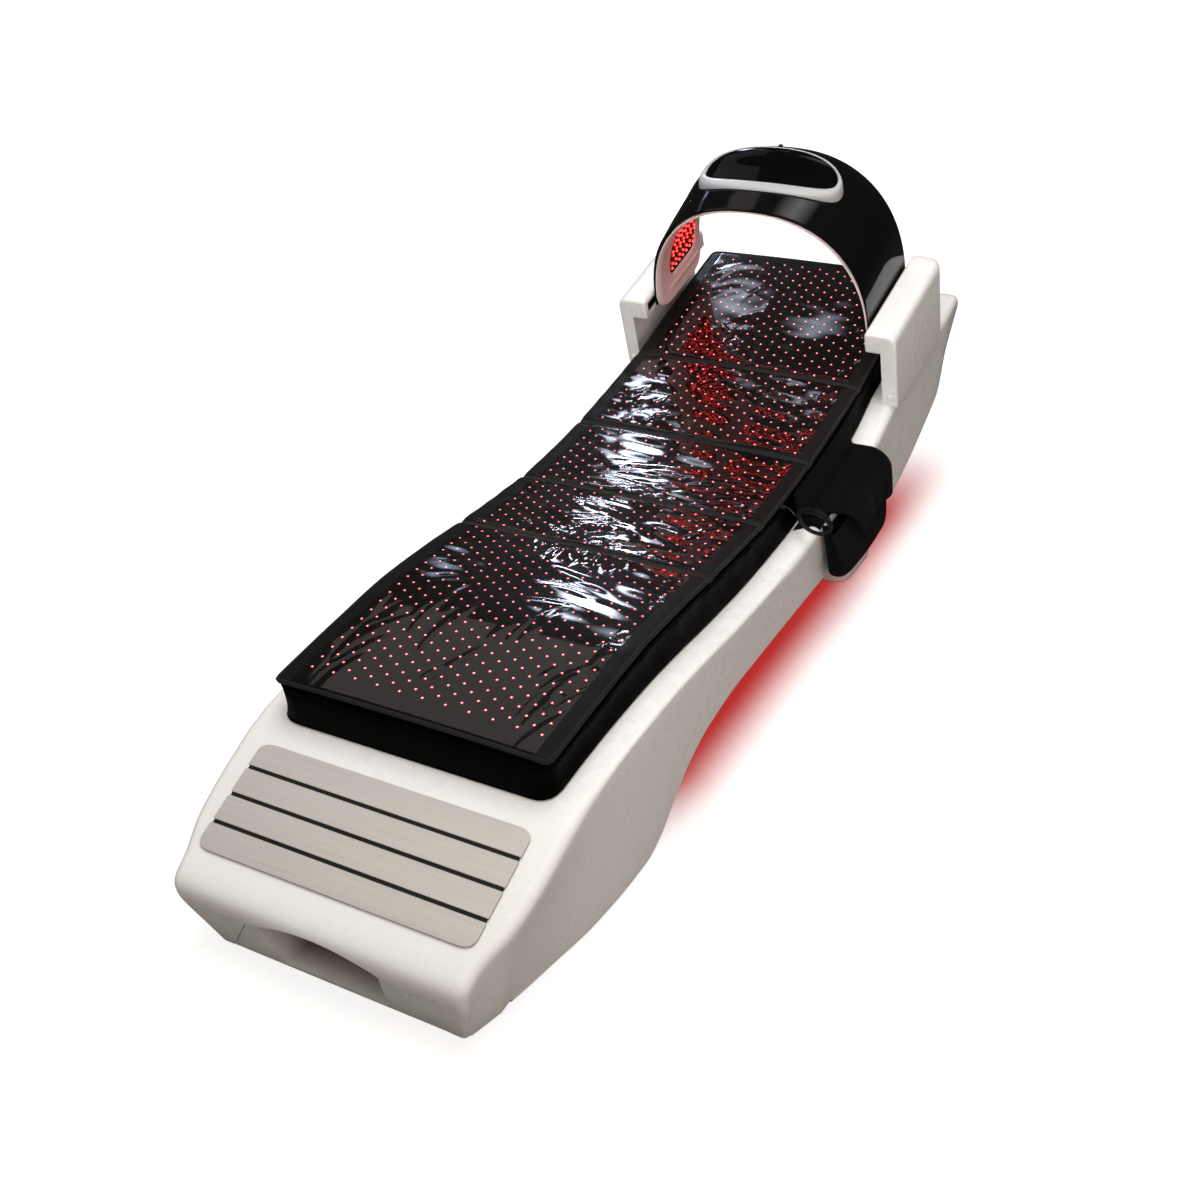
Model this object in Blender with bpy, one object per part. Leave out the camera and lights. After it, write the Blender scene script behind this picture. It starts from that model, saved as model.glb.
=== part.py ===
"""Red light therapy bed: a wave-shaped moulded base, a padded LED mat and a sliding LED dome.

Lengths are metres, +Z is up, +X is the side with the pouch and +Y runs from the foot to the head.
Lengthways places are stations: 0 is the front edge on the floor. One empty moves the stations so that
the origin lies on the floor, in the middle of the pedestal's base.
"""
import math

import bmesh
import bpy
import numpy as np
from mathutils import Matrix, Vector

for old in list(bpy.data.objects):
    bpy.data.objects.remove(old, do_unlink=True)

# Fits
GAP = 0.0003            # between pieces that touch
SEAM = 0.0012           # visible joint between mouldings
RUN = 0.0005            # running clearance of the dome's slide

# Base shell
RIM_HALF = 0.336        # half width at the rim, foot to seat
HEAD_HALF = RIM_HALF + 0.004    # half width at the rim, under the armrests
NOSE_HALF = RIM_HALF - 0.038    # half width at the nose
FRONT_HALF = RIM_HALF - 0.079   # half width of the front edge at the floor
FOOT_TAPER = 0.009      # side walls lean in by this much at the bottom, behind the calf
WALL = 0.007
SHOULDER = 0.018        # radius between rim and side wall
FRONT_CORNER = 0.010    # radius of the front corners at the floor
NOSE_OVERHANG = 0.040   # how far the front leans out, up to its straight part's top
FRONT_TOP = 0.118       # height where the front's straight part ends
PLATE_SLOPE = math.radians(23.0)
PLATE_Z = 0.188         # height of the footrest plane at station 0
PLATE_END = 0.23        # station where the footrest plane runs into the deck
REAR_END = 2.262        # station of the rear wall's lower edge
DRAWN_END = 2.262       # the same, on the drawing that the stations below come from


def drawn(*stations):
    """Stations of the drawing, stretched to this bed's length."""
    return tuple(s * REAR_END / DRAWN_END for s in stations)


def drawn_line(*points):
    """Stations and heights of the drawing, stretched to this bed's length."""
    return [(s * REAR_END / DRAWN_END, z) for s, z in points]


REAR_TOP = REAR_END - 0.067     # station where the rear end rounds over
REAR_BULGE = 0.030      # how far the rear end swells past its lower edge
DECK_LINE = drawn_line((0.30, 0.303), (0.49, 0.318), (0.60, 0.320), (0.72, 0.315), (0.88, 0.303), (1.05, 0.297),
                       (1.20, 0.301), (1.40, 0.321), (1.63, 0.366), (1.76, 0.418), (1.95, 0.462), (2.12, 0.498))
RECESS = 0.010          # depth of the mattress well
RECESS_HALF = RIM_HALF - 0.048

# Under tray and feet
TRAY_THICK = 0.013
TRAY_START = 0.10
TRAY_INSET = 0.002
GLIDE = 0.004           # glides lift the moulding off the floor
GLIDE_R = 0.022
TRAY_FLAT = 0.150       # height of the tray's level stretch
TRAY_LINE = [(TRAY_START, GLIDE)] + drawn_line(
    (0.32, GLIDE), (0.50, GLIDE), (0.56, 0.024), (0.62, 0.068), (0.68, 0.105), (0.77, 0.135),
    (0.92, TRAY_FLAT), (1.30, TRAY_FLAT), (1.78, TRAY_FLAT), (1.90, 0.180), (2.00, 0.222),
    (2.10, 0.270), (2.19, 0.316)) + [(REAR_END - 0.004, 0.354)]
PEDESTAL = drawn(1.583, 1.775)  # stations of the pedestal's ends
PEDESTAL_HALF = RIM_HALF - 0.037
PEDESTAL_DRAFT = 0.008
PEDESTAL_R = 0.030
GLOW_ENDS = drawn(0.70, 2.16)      # stations between which the glow strips run
GLIDE_AT = drawn(0.17, 0.45)       # stations of the floor glides
GLIDE_X = RIM_HALF - 0.101

# Steel subframe, with the boxes on it
RAIL_ENDS = drawn(0.34, 1.72)
RAIL_X = (RIM_HALF - 0.151, RIM_HALF - 0.121)
RAIL_HIGH = 0.040
TUBE_WALL = 0.003
BEARER_HALF = RIM_HALF - 0.106
BEARER_AT = drawn(0.42, 1.05, 1.66)
SUPPLY = (0.11, *drawn(1.20, 1.34), 0.045)   # half width, stations, height
DRIVER = (0.08, *drawn(1.44, 1.54), 0.032)

# Front service panel and its niche
OPEN_TOP_HALF = FRONT_HALF - 0.112
OPEN_FOOT_HALF = FRONT_HALF - 0.027
OPEN_SIDE = 0.120       # height of the opening at its upper corners
OPEN_CROWN = 0.150      # height of the opening in the middle
PANEL_THICK = 0.006
NICHE_TOP_HALF = OPEN_TOP_HALF - 0.018
NICHE_FOOT_HALF = OPEN_TOP_HALF - 0.040
NICHE_SILL = 0.012
NICHE_WALL = 0.004
NICHE_DEPTH = 0.085

# Footrest
SLATS = 4
SLAT_GAP = 0.0075
SLAT_THICK = 0.0025
BACKING_THICK = 0.003
FOOT_HALF = RIM_HALF - 0.056
FOOT_ENDS = (0.014, 0.213)
FOOT_R = 0.030

# Mattress, LED mat and clear cover
PAD_HALF = RIM_HALF - 0.052
PAD_ENDS = (0.262, REAR_END - 0.166)
PAD_R = 0.040           # corner radius seen from above
PAD_SIDE_IN = 0.004     # sides drawn in at half height
CROWN = 0.004
MAT_HALF = PAD_HALF - 0.004
MAT_ENDS = (PAD_ENDS[0] + 0.006, PAD_ENDS[1] - 0.006)
MAT_THICK = 0.010
MAT_SEAMS = drawn(0.869, 1.113, 1.369, 1.661)
SEAM_DIP = 0.005
FILM_THICK = 0.0008
MAT_LINE = [(PAD_ENDS[0], 0.384)] + drawn_line(
    (0.45, 0.402), (0.62, 0.414), (0.75, 0.411), (0.869, 0.404), (1.00, 0.397), (1.113, 0.396), (1.24, 0.403),
    (1.369, 0.420), (1.52, 0.446), (1.661, 0.478), (1.80, 0.517), (1.95, 0.559)) + [(PAD_ENDS[1], 0.599)]

# Head end: armrests and dome in a frame tilted with the head section
HEAD_TILT = math.radians(15.0)
HEAD_AT = (REAR_END - 0.522, 0.570)   # station and height of the head frame's origin
ARM_INNER = HEAD_HALF - 0.064
ARM_NOTCH = HEAD_HALF - 0.026
ARM_OUTER = HEAD_HALF + 0.0095
ARM_TOP = 0.037
ARM_LIP = -0.015
ARM_ENDS = (-0.046, 0.290)
ARM_LAP = 0.009         # how far the apron laps down over the rim
ARM_R = 0.018
ARM_TAIL = 0.034        # radius of the armrest's rear outer corner, seen from above
CHANNEL = (0.0005, 0.0235)  # slot for the rail, low and high
CHANNEL_DEPTH = 0.016
CHANNEL_STOP = 0.016    # solid left at each end of the slot
RAIL_WALL = 0.002
CARRIAGE_LENGTH = 0.10
DOME_HALF = ARM_INNER - 0.0045
DOME_DEPTH = 0.250
DOME_SKIN = 0.004
LINER = 0.009
LINER_TOP = (0.284, 0.3025)  # liner's outer height at the front and the back
DOME_TOP = [(0.0, 0.288), (0.05, 0.2945), (0.09, 0.3005), (0.13, 0.3135), (0.18, 0.3325), (0.215, 0.3245),
            (0.25, 0.3075)]
DOME_POWER = [(0.0, 2.40), (0.09, 2.56), (0.18, 2.42), (0.25, 2.36)]
LINER_POWER = 2.28
LINER_DROP = 0.024      # the liner's feet reach below the skin's
LINER_R = 0.044         # radius of their lower corners
WINDOW_U = (0.064, 0.214)
WINDOW_DEPTH = 0.005
BOARD_THICK = 0.0028
SIDE_WINDOW = (0.028, 0.29)  # shares of the arch from its foot, left and right
TOP_WINDOW = (0.36, 0.64)
BEZEL = (DOME_HALF - 0.1015, 0.0645, 0.128)    # console bezel in plan: half length, half depth, middle
SCREEN = (DOME_HALF - 0.1145, 0.046, 0.1355)  # the glass inside it, the same way
BEZEL_POWER = 2.6       # of the superellipse that both outlines follow
BEZEL_BOW = 0.004       # how far their middle is pushed back
BEZEL_RISE = 0.006      # over the skin in the middle
END_RISE = 0.014        # how much more at the ends, where the console is flatter than the dome
GLAND_U, GLAND_R = 0.2065, 0.006
GLASS_LIFT = 0.003
GLASS_THICK = 0.0022

# Pouch and cable at the right side
FLAP_THICK = 0.0025
FLAP_STATIONS = drawn(1.270, 1.332, 1.432, 1.606)  # front edge at the mat, the rim and the hem, then the rear edge
FLAP_HANG = 0.088       # hem below the rim
FLAP_OUT = 0.0475        # hem stands off the wall
POCKET_ENDS = drawn(1.285, 1.630)
POCKET_DROP = (0.030, 0.180)   # mouth and bottom below the rim at the pocket's middle
POCKET_SLANT = 0.25     # the mouth falls towards the head
POCKET_CORNER = 0.044   # the mouth's front corner stands up and carries the coil
POCKET_THICK = 0.0022
POCKET_MOUTH = 0.026    # how far the mouth stands open
POCKET_SWELL = 0.022    # how much further the pocket swells below it
CONTROLLER = (drawn(1.40)[0], 0.020, 0.090, 0.055)  # front station, then thickness, length, height
RELIEF_AT = drawn(1.205)[0]
CABLE_R = 0.002
COIL_R = 0.040
COIL_LOOPS = 3.25
COIL_AT = (RIM_HALF - 0.0015, POCKET_ENDS[0] - 0.017)
COIL_LIFT = 0.0275      # middle of the coil over the rim
COIL_TILT = math.radians(22.0)


def smooth_line(points):
    """Return a cubic through (place, height) points that never overshoots them."""
    place = np.array([p[0] for p in points], float)
    height = np.array([p[1] for p in points], float)
    step = np.diff(place)
    rise = np.diff(height) / step
    slope = np.r_[rise[0], np.zeros(len(rise) - 1), rise[-1]]
    for i in range(1, len(rise)):
        if rise[i - 1] * rise[i] > 0:
            a = 2 * step[i] + step[i - 1]
            b = step[i] + 2 * step[i - 1]
            slope[i] = (a + b) / (a / rise[i - 1] + b / rise[i])

    def value(x):
        x = np.asarray(x, float)
        i = np.clip(np.searchsorted(place, x, side="right") - 1, 0, len(step) - 1)
        t = (x - place[i]) / step[i]
        low, high = height[i], height[i + 1]
        return ((2 * t**3 - 3 * t**2 + 1) * low + (t**3 - 2 * t**2 + t) * step[i] * slope[i]
                + (3 * t**2 - 2 * t**3) * high + (t**3 - t**2) * step[i] * slope[i + 1])
    return value


def bezier(a, b, c, d, count):
    """Points along a cubic Bezier, without its first one."""
    t = np.arange(1, count + 1)[:, None] / count
    a, b, c, d = (np.array(p, float) for p in (a, b, c, d))
    return (1 - t)**3 * a + 3 * (1 - t)**2 * t * b + 3 * (1 - t) * t**2 * c + t**3 * d


def empty(name, location, tilt=0.0, parent=None):
    spot = bpy.data.objects.new(name, None)
    spot.location = location
    spot.rotation_euler = (tilt, 0.0, 0.0)
    spot.parent = parent
    bpy.context.collection.objects.link(spot)
    return spot


def finish(name, color, roughness, metallic):
    material = bpy.data.materials.new(name + "_finish")
    material.use_nodes = True
    shader = material.node_tree.nodes["Principled BSDF"]
    shader.inputs["Base Color"].default_value = (*color, 1.0)
    shader.inputs["Roughness"].default_value = roughness
    shader.inputs["Metallic"].default_value = metallic
    return material


WHITE = ((0.86, 0.86, 0.85), 0.30, 0.0)
STEEL = ((0.62, 0.61, 0.59), 0.35, 1.0)
BLACK = ((0.012, 0.012, 0.013), 0.55, 0.0)
GLOSS = ((0.006, 0.006, 0.007), 0.06, 0.0)
ALUMINIUM = ((0.55, 0.56, 0.58), 0.35, 1.0)
SILVER = ((0.60, 0.61, 0.62), 0.28, 0.9)
PINK = ((0.90, 0.80, 0.80), 0.40, 0.0)
LED_RED = ((0.30, 0.02, 0.02), 0.40, 0.0)
PAINT = ((0.10, 0.10, 0.11), 0.50, 0.3)
FELT = ((0.010, 0.010, 0.012), 0.95, 0.0)
CLEAR = ((0.75, 0.75, 0.78), 0.08, 0.0)


def add(name, mesh, look, parent, smooth=True):
    """Link one named object with its own finish; round pieces are shaded smooth."""
    thing = bpy.data.objects.new(name, mesh)
    bpy.context.collection.objects.link(thing)
    mesh.materials.append(finish(name, *look))
    thing.parent = parent
    if smooth:
        mesh.shade_smooth()
        mesh.set_sharp_from_angle(angle=math.radians(35))
    return thing


def close_mesh(name, points, faces):
    """Make a closed mesh with merged corners and faces pointing out."""
    mesh = bpy.data.meshes.new(name)
    mesh.from_pydata([tuple(map(float, p)) for p in points], [], faces)
    work = bmesh.new()
    work.from_mesh(mesh)
    bmesh.ops.remove_doubles(work, verts=work.verts, dist=1e-6)
    bmesh.ops.recalc_face_normals(work, faces=work.faces)
    work.to_mesh(mesh)
    work.free()
    return mesh


def plate_between(name, upper, lower):
    """Closed solid between two grids of points of the same shape."""
    rows, columns, _ = upper.shape
    size = rows * columns
    points = np.r_[upper.reshape(-1, 3), lower.reshape(-1, 3)]
    faces = []
    for i in range(rows - 1):
        for j in range(columns - 1):
            a, b, c, d = (i * columns + j, i * columns + j + 1, (i + 1) * columns + j + 1, (i + 1) * columns + j)
            faces += [(a, b, c, d), (size + d, size + c, size + b, size + a)]
    border = [j for j in range(columns)]
    border += [i * columns + columns - 1 for i in range(1, rows)]
    border += [(rows - 1) * columns + j for j in range(columns - 2, -1, -1)]
    border += [i * columns for i in range(rows - 2, 0, -1)]
    for a, b in zip(border, border[1:] + border[:1]):
        faces.append((b, a, size + a, size + b))
    return close_mesh(name, points, faces)


def ring_loft(name, rings, closed_path=False):
    """Closed solid through rings of points; an open path is capped at both ends."""
    rings = np.asarray(rings, float)
    count, around, _ = rings.shape
    faces = []
    for i in range(count if closed_path else count - 1):
        k = (i + 1) % count
        for j in range(around):
            n = (j + 1) % around
            faces.append((i * around + j, i * around + n, k * around + n, k * around + j))
    if not closed_path:
        faces.append(tuple(range(around - 1, -1, -1)))
        faces.append(tuple((count - 1) * around + j for j in range(around)))
    return close_mesh(name, rings.reshape(-1, 3), faces)


def prism(name, outline, low, high, place):
    """Extrude an outline between two depths; place maps (a, b, depth) to a point."""
    return ring_loft(name, [[place(a, b, depth) for a, b in outline] for depth in (low, high)])


def rounded(half, low, high, radii, steps=5):
    """Outline of a rectangle -half..half by low..high; radii from the low right corner, turning left."""
    corners = ((half, low, 1, -1, -90), (half, high, 1, 1, 0), (-half, high, -1, 1, 90), (-half, low, -1, -1, 180))
    outline = []
    for (x, y, sx, sy, start), radius in zip(corners, radii):
        if radius <= 0:
            outline.append((x, y))
            continue
        for k in range(steps + 1):
            angle = math.radians(start + 90 * k / steps)
            outline.append((x - sx * radius + radius * math.cos(angle), y - sy * radius + radius * math.sin(angle)))
    return outline


def box_tube(name, low, high, axis, wall):
    """Rectangular tube along one axis, open at both ends."""
    low, high = Vector(low), Vector(high)
    other = [i for i in range(3) if i != axis]
    sections = []
    for end in (low, high):
        for inset in (0.0, wall):
            for pick in ((0, 0), (1, 0), (1, 1), (0, 1)):
                point = [0.0, 0.0, 0.0]
                point[axis] = end[axis]
                for direction, side in zip(other, pick):
                    point[direction] = (high[direction] - inset) if side else (low[direction] + inset)
                sections.append(point)
    faces = []
    for k in range(4):
        n = (k + 1) % 4
        faces += [(k, n, 8 + n, 8 + k), (4 + n, 4 + k, 12 + k, 12 + n)]
        faces += [(n, k, 4 + k, 4 + n), (8 + k, 8 + n, 12 + n, 12 + k)]
    return close_mesh(name, sections, faces)


def block(name, low, high, bevel=0.0):
    """Box between two corners, with rounded edges where bevel is given."""
    work = bmesh.new()
    bmesh.ops.create_cube(work, size=1.0)
    size = Vector(high) - Vector(low)
    middle = (Vector(high) + Vector(low)) / 2
    bmesh.ops.transform(work, matrix=Matrix.Translation(middle) @ Matrix.Diagonal((*size, 1.0)), verts=work.verts)
    if bevel:
        bmesh.ops.bevel(work, geom=work.edges, offset=bevel, segments=2, affect="EDGES", profile=0.5)
    mesh = bpy.data.meshes.new(name)
    work.to_mesh(mesh)
    work.free()
    return mesh


def disc(name, radius, low, high, place, sides=20):
    """Short cylinder; place maps (a, b, depth) to a point."""
    circle = [(radius * math.cos(t), radius * math.sin(t)) for t in np.arange(sides) * 2 * math.pi / sides]
    return prism(name, circle, low, high, place)


def cut(thing, cutter_mesh, name, operation="DIFFERENCE"):
    """Boolean with a hidden cutter that shares the piece's parent."""
    cutter = bpy.data.objects.new(name, cutter_mesh)
    bpy.context.collection.objects.link(cutter)
    cutter.parent = thing.parent
    cutter.hide_render = True
    cutter.display_type = "WIRE"
    change = thing.modifiers.new(name, "BOOLEAN")
    change.operation = operation
    change.object = cutter
    change.solver = "EXACT"


# Lines that several pieces share
plate_tan = math.tan(PLATE_SLOPE)
deck_wave = smooth_line([(PLATE_END, PLATE_Z + plate_tan * PLATE_END)] + DECK_LINE
                        + [(REAR_TOP, DECK_LINE[-1][1] + 0.016)])
tray_low = smooth_line(TRAY_LINE)
mat_top = smooth_line(MAT_LINE)
rim_half = smooth_line([(0.0, NOSE_HALF + 0.002), (0.06, RIM_HALF - 0.013), (0.15, RIM_HALF - 0.003),
                        (0.26, RIM_HALF)] + drawn_line((1.30, RIM_HALF), (1.72, HEAD_HALF), (2.12, HEAD_HALF))
                       + [(REAR_TOP, HEAD_HALF - 0.004)])
foot_half = smooth_line([(0.0, FRONT_HALF), (0.10, FRONT_HALF + 0.026), (0.20, RIM_HALF - 0.035),
                         (0.32, RIM_HALF - 0.016), (0.45, RIM_HALF - FOOT_TAPER)]
                        + drawn_line((1.0, RIM_HALF - FOOT_TAPER), (1.8, HEAD_HALF - FOOT_TAPER),
                                     (2.1, HEAD_HALF - FOOT_TAPER)) + [(REAR_END, RIM_HALF - 0.036)])


def deck(s):
    """Height of the moulding's top: the footrest plane, then the wave up to the head."""
    s = np.asarray(s, float)
    return np.where(s < PLATE_END, PLATE_Z + plate_tan * s, deck_wave(np.maximum(s, PLATE_END)))


WELL = (PAD_ENDS[0] - 0.004, PAD_ENDS[1] + 0.004)  # stations where the mattress well starts and ends
WELL_LIP = 0.004
DECK_ROWS = np.r_[0.05, TRAY_START, 0.16, PLATE_END, WELL[0] - WELL_LIP, WELL[0],
                  np.linspace(WELL[0] + 0.062, WELL[1] - 0.060, 25),
                  WELL[1], WELL[1] + WELL_LIP, REAR_TOP - 0.045, REAR_TOP]
TRAY_ROWS = np.r_[DECK_ROWS[1:], REAR_TOP + (REAR_END - 0.004 - SHOULDER - REAR_TOP) * np.arange(1, 8) / 7]


def deck_face(s):
    """Height of the moulding's top between its own rows, so that pieces on it follow its facets."""
    return float(np.interp(s, DECK_ROWS, deck(DECK_ROWS)))


def tray_normal(s):
    """Upward normal of the tray's line, as parts along the stations and up."""
    step = 1e-3
    slope = (tray_low(s + step) - tray_low(s - step)) / (2 * step)
    size = np.sqrt(1 + slope**2)
    return -slope / size, 1 / size


def shell_edge(s):
    """Station and height of the side wall's lower edge: on the floor gap, then along the tray's top."""
    if s < TRAY_START:
        return s, GLIDE
    along, up = tray_normal(s)
    lift = TRAY_THICK + GAP
    return s + along * lift, tray_low(s) + up * lift


def front_line(z):
    """Station of the leaning front face at a height."""
    return -NOSE_OVERHANG * (z - GLIDE) / (FRONT_TOP - GLIDE)


def shell_rows():
    """Rows over the profile: point, half width, the wall's lower station, shoulder radius, recess share."""
    foot = np.array((0.0, GLIDE))
    brow = np.array((front_line(FRONT_TOP), FRONT_TOP))
    lean = (brow - foot) / np.linalg.norm(brow - foot)
    start = np.array((0.004, float(deck(0.004))))
    along = np.array((math.cos(PLATE_SLOPE), math.sin(PLATE_SLOPE)))
    reach = 0.045
    path = [foot, foot + (brow - foot) * 0.5, brow]
    path += list(bezier(brow, brow + lean * reach, start - along * reach, start, 7))
    widths = list(np.linspace(FRONT_HALF, NOSE_HALF - 0.004, 3))
    widths += list(np.linspace(NOSE_HALF - 0.002, NOSE_HALF + 0.002, 7))
    radii = list(np.linspace(FRONT_CORNER, SHOULDER, 4)) + [SHOULDER] * (len(path) - 4)
    lowers = list(np.linspace(FRONT_CORNER, 0.07, len(path)))
    recess = [0.0] * len(path)
    for s in DECK_ROWS:
        path.append(np.array((s, float(deck(s)))))
        widths.append(float(rim_half(s)))
        lowers.append(max(s, 0.074))
        radii.append(SHOULDER)
        recess.append(1.0 if WELL[0] <= s <= WELL[1] else 0.0)
    top = path[-1]
    end = np.array(shell_edge(REAR_END - 0.004))
    tail = bezier(top, top + np.array((0.060, 0.012)), end + np.array((REAR_BULGE + 0.010, 0.070)), end, 7)
    for k, point in enumerate(tail):
        share = (k + 1) / len(tail)
        path.append(point)
        widths.append(float(rim_half(REAR_TOP)) - 0.038 * share**2)
        lowers.append(TRAY_ROWS[len(DECK_ROWS) - 1 + k])
        radii.append(SHOULDER)
        recess.append(0.0)
    return np.array(path), widths, lowers, radii, recess


def build_shell(parent):
    """Loft the wave-shaped moulding over its profile, then give it its wall and openings."""
    path, widths, lowers, radii, recess = shell_rows()
    tangent = np.gradient(path, axis=0)
    tangent /= np.linalg.norm(tangent, axis=1)[:, None]
    inward = np.c_[tangent[:, 1], -tangent[:, 0]]
    inward[0] = (1.0, 0.0)
    along, up = tray_normal(REAR_END - 0.010)
    inward[-1] = (-up, along)
    rows = []
    for point, half, low, radius, dip, into in zip(path, widths, lowers, radii, recess, inward):
        side = []
        edge_s, edge_z = shell_edge(low)
        edge = np.array((float(foot_half(low)), edge_s, edge_z))
        corner = np.array((half, *(point + radius * into)))
        if point is path[0] or point is path[-1]:
            edge = corner
        side += [edge + (corner - edge) * share for share in (0.0, 0.34, 0.67)]
        for angle in np.radians((90.0, 60.0, 30.0, 0.0)):
            x = half - radius + radius * math.sin(angle)
            side.append(np.array((x, *(point + radius * (1 - math.cos(angle)) * into))))
        well = np.array((0.0, -RECESS * dip))
        flat = min(half - radius - 0.006, RECESS_HALF + 0.003)
        side.append(np.array((flat, *point)))
        side.append(np.array((flat - 0.003, *(point + well))))
        side.append(np.array((0.5 * RECESS_HALF, *(point + well))))
        middle = np.array((0.0, *(point + well)))
        mirrored = [p * (-1, 1, 1) for p in side]
        rows.append(mirrored + [middle] + side[::-1])
    grid = np.array(rows)
    count, columns, _ = grid.shape
    faces = [(i * columns + j, i * columns + j + 1, (i + 1) * columns + j + 1, (i + 1) * columns + j)
             for i in range(count - 1) for j in range(columns - 1)]
    mesh = bpy.data.meshes.new("base_shell")
    mesh.from_pydata([tuple(map(float, p)) for p in grid.reshape(-1, 3)], [], faces)
    work = bmesh.new()
    work.from_mesh(mesh)
    bmesh.ops.remove_doubles(work, verts=work.verts, dist=1e-6)
    bmesh.ops.dissolve_degenerate(work, edges=work.edges, dist=1e-6)
    bmesh.ops.recalc_face_normals(work, faces=work.faces)
    highest = max(work.faces, key=lambda face: face.calc_center_median().z)
    if highest.normal.z < 0:
        bmesh.ops.reverse_faces(work, faces=work.faces)
    work.to_mesh(mesh)
    work.free()
    shell = add("base_shell", mesh, WHITE, parent)
    wall = shell.modifiers.new("wall", "SOLIDIFY")
    wall.thickness = WALL
    wall.offset = -1.0
    wall.use_even_offset = True
    wall.thickness_clamp = 0.6
    opening = prism("front_opening", panel_outline(0.0, -0.01), -0.10, 0.045, lambda x, z, d: (x, d, z))
    cut(shell, opening, "front_opening")
    return shell


def panel_outline(inset, foot):
    """Outline of the front opening: straight leaning sides under a low arch."""
    spread = (OPEN_FOOT_HALF - OPEN_TOP_HALF) / OPEN_SIDE
    half_foot = OPEN_FOOT_HALF - spread * foot - inset
    half_top = OPEN_TOP_HALF - inset
    arch = [(half_top * c, OPEN_SIDE - inset + (OPEN_CROWN - OPEN_SIDE) * (1 - c * c))
            for c in np.linspace(1, -1, 11)]
    return [(-half_foot, foot), (half_foot, foot)] + arch


def niche_outline(grow):
    """Outline of the foot niche, grown outwards by its wall."""
    crown = OPEN_CROWN - OPEN_SIDE
    top = OPEN_SIDE - SEAM - NICHE_WALL
    half = NICHE_TOP_HALF + grow
    arch = [(half * c, top + grow * 0.9 + crown * (1 - (NICHE_TOP_HALF / OPEN_TOP_HALF * c)**2)
             - crown * (1 - (NICHE_TOP_HALF / OPEN_TOP_HALF)**2) * 0.6) for c in np.linspace(1, -1, 11)]
    return [(-NICHE_FOOT_HALF - grow, NICHE_SILL - grow), (NICHE_FOOT_HALF + grow, NICHE_SILL - grow)] + arch


def build_front_panel(parent):
    """Service panel: a thin leaning plate with a niche pressed into its middle."""
    def leaning(x, z, depth):
        return (x, front_line(min(z, FRONT_TOP)) + depth, z)

    def straight(x, z, depth):
        return (x, depth, z)

    def tub_place(x, z, depth):
        return leaning(x, z, depth) if depth < PANEL_THICK else straight(x, z, depth)
    flush = 0.0006
    plate = prism("front_panel", panel_outline(SEAM, GLIDE + GAP), flush, flush + PANEL_THICK, leaning)
    panel = add("front_panel", plate, WHITE, parent)
    tub = prism("niche_tub", niche_outline(NICHE_WALL), PANEL_THICK / 2, NICHE_DEPTH + NICHE_WALL, tub_place)
    hollow = prism("niche_hollow", niche_outline(0.0), -0.12, NICHE_DEPTH, straight)
    cut(panel, tub, "niche_tub", "UNION")
    cut(panel, hollow, "niche_hollow")


def build_tray(parent):
    """Lower moulding: a thick plate along the tray's line, flush under the side walls."""
    stations = np.r_[TRAY_ROWS, REAR_END - 0.004]
    along, up = tray_normal(stations)
    half = foot_half(stations) - TRAY_INSET
    shares = np.array((-1.0, 0.0, 1.0))
    x = half[:, None] * shares
    wide = np.ones_like(shares)
    lower = np.dstack([x, stations[:, None] * wide, tray_low(stations)[:, None] * wide])
    upper = np.dstack([x, (stations + along * TRAY_THICK)[:, None] * wide,
                       (tray_low(stations) + up * TRAY_THICK)[:, None] * wide])
    add("under_tray", plate_between("under_tray", upper, lower), WHITE, parent)
    for side, name in ((-1, "left"), (1, "right")):
        run = TRAY_ROWS[(TRAY_ROWS > GLOW_ENDS[0]) & (TRAY_ROWS < GLOW_ENDS[1])]
        along, up = tray_normal(run)
        middle = side * (foot_half(run) - 0.018)
        strip = []
        for lift in (-GAP, -GAP - 0.003):
            rows = [np.c_[middle + offset, run + along * lift, tray_low(run) + up * lift]
                    for offset in (-0.006, 0.006)]
            strip.append(np.stack(rows, axis=1))
        add("glow_strip_" + name, plate_between("glow_strip_" + name, *strip), LED_RED, parent)


def build_feet(parent):
    """Pedestal under the seat, with its power inlet, and glides under the front."""
    front, back = PEDESTAL
    rings = []
    for z, inset in ((TRAY_FLAT - GAP, PEDESTAL_DRAFT), (0.012, 0.001), (0.003, 0.001), (0.0, 0.005)):
        outline = rounded(PEDESTAL_HALF - inset, front + inset, back - inset, (PEDESTAL_R,) * 4)
        rings.append([(x, y, z) for x, y in outline])
    pedestal = add("rear_pedestal", ring_loft("rear_pedestal", rings), WHITE, parent)
    inlet_z = 0.070
    face = back - PEDESTAL_DRAFT
    pocket = block("inlet_pocket", (-0.0245, face - 0.026, inlet_z - 0.0145), (0.0245, back + 0.02, inlet_z + 0.0145))
    cut(pedestal, pocket, "inlet_pocket")
    inlet = block("mains_inlet", (-0.024, face - 0.0255, inlet_z - 0.014),
                  (0.024, back + 0.001, inlet_z + 0.014), 0.0015)
    socket = add("mains_inlet", inlet, BLACK, parent)
    hole = block("inlet_hole", (-0.0125, back - 0.013, inlet_z - 0.0085), (0.0125, back + 0.02, inlet_z + 0.0085))
    cut(socket, hole, "inlet_hole")
    for side, hand in ((-1, "left"), (1, "right")):
        for station, end in zip(GLIDE_AT, ("front", "rear")):
            name = "floor_glide_%s_%s" % (end, hand)
            mesh = disc(name, GLIDE_R, 0.0, GLIDE - GAP,
                        lambda a, b, d, s=station, h=side: (h * GLIDE_X + a, s + b, d))
            add(name, mesh, BLACK, parent)


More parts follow.
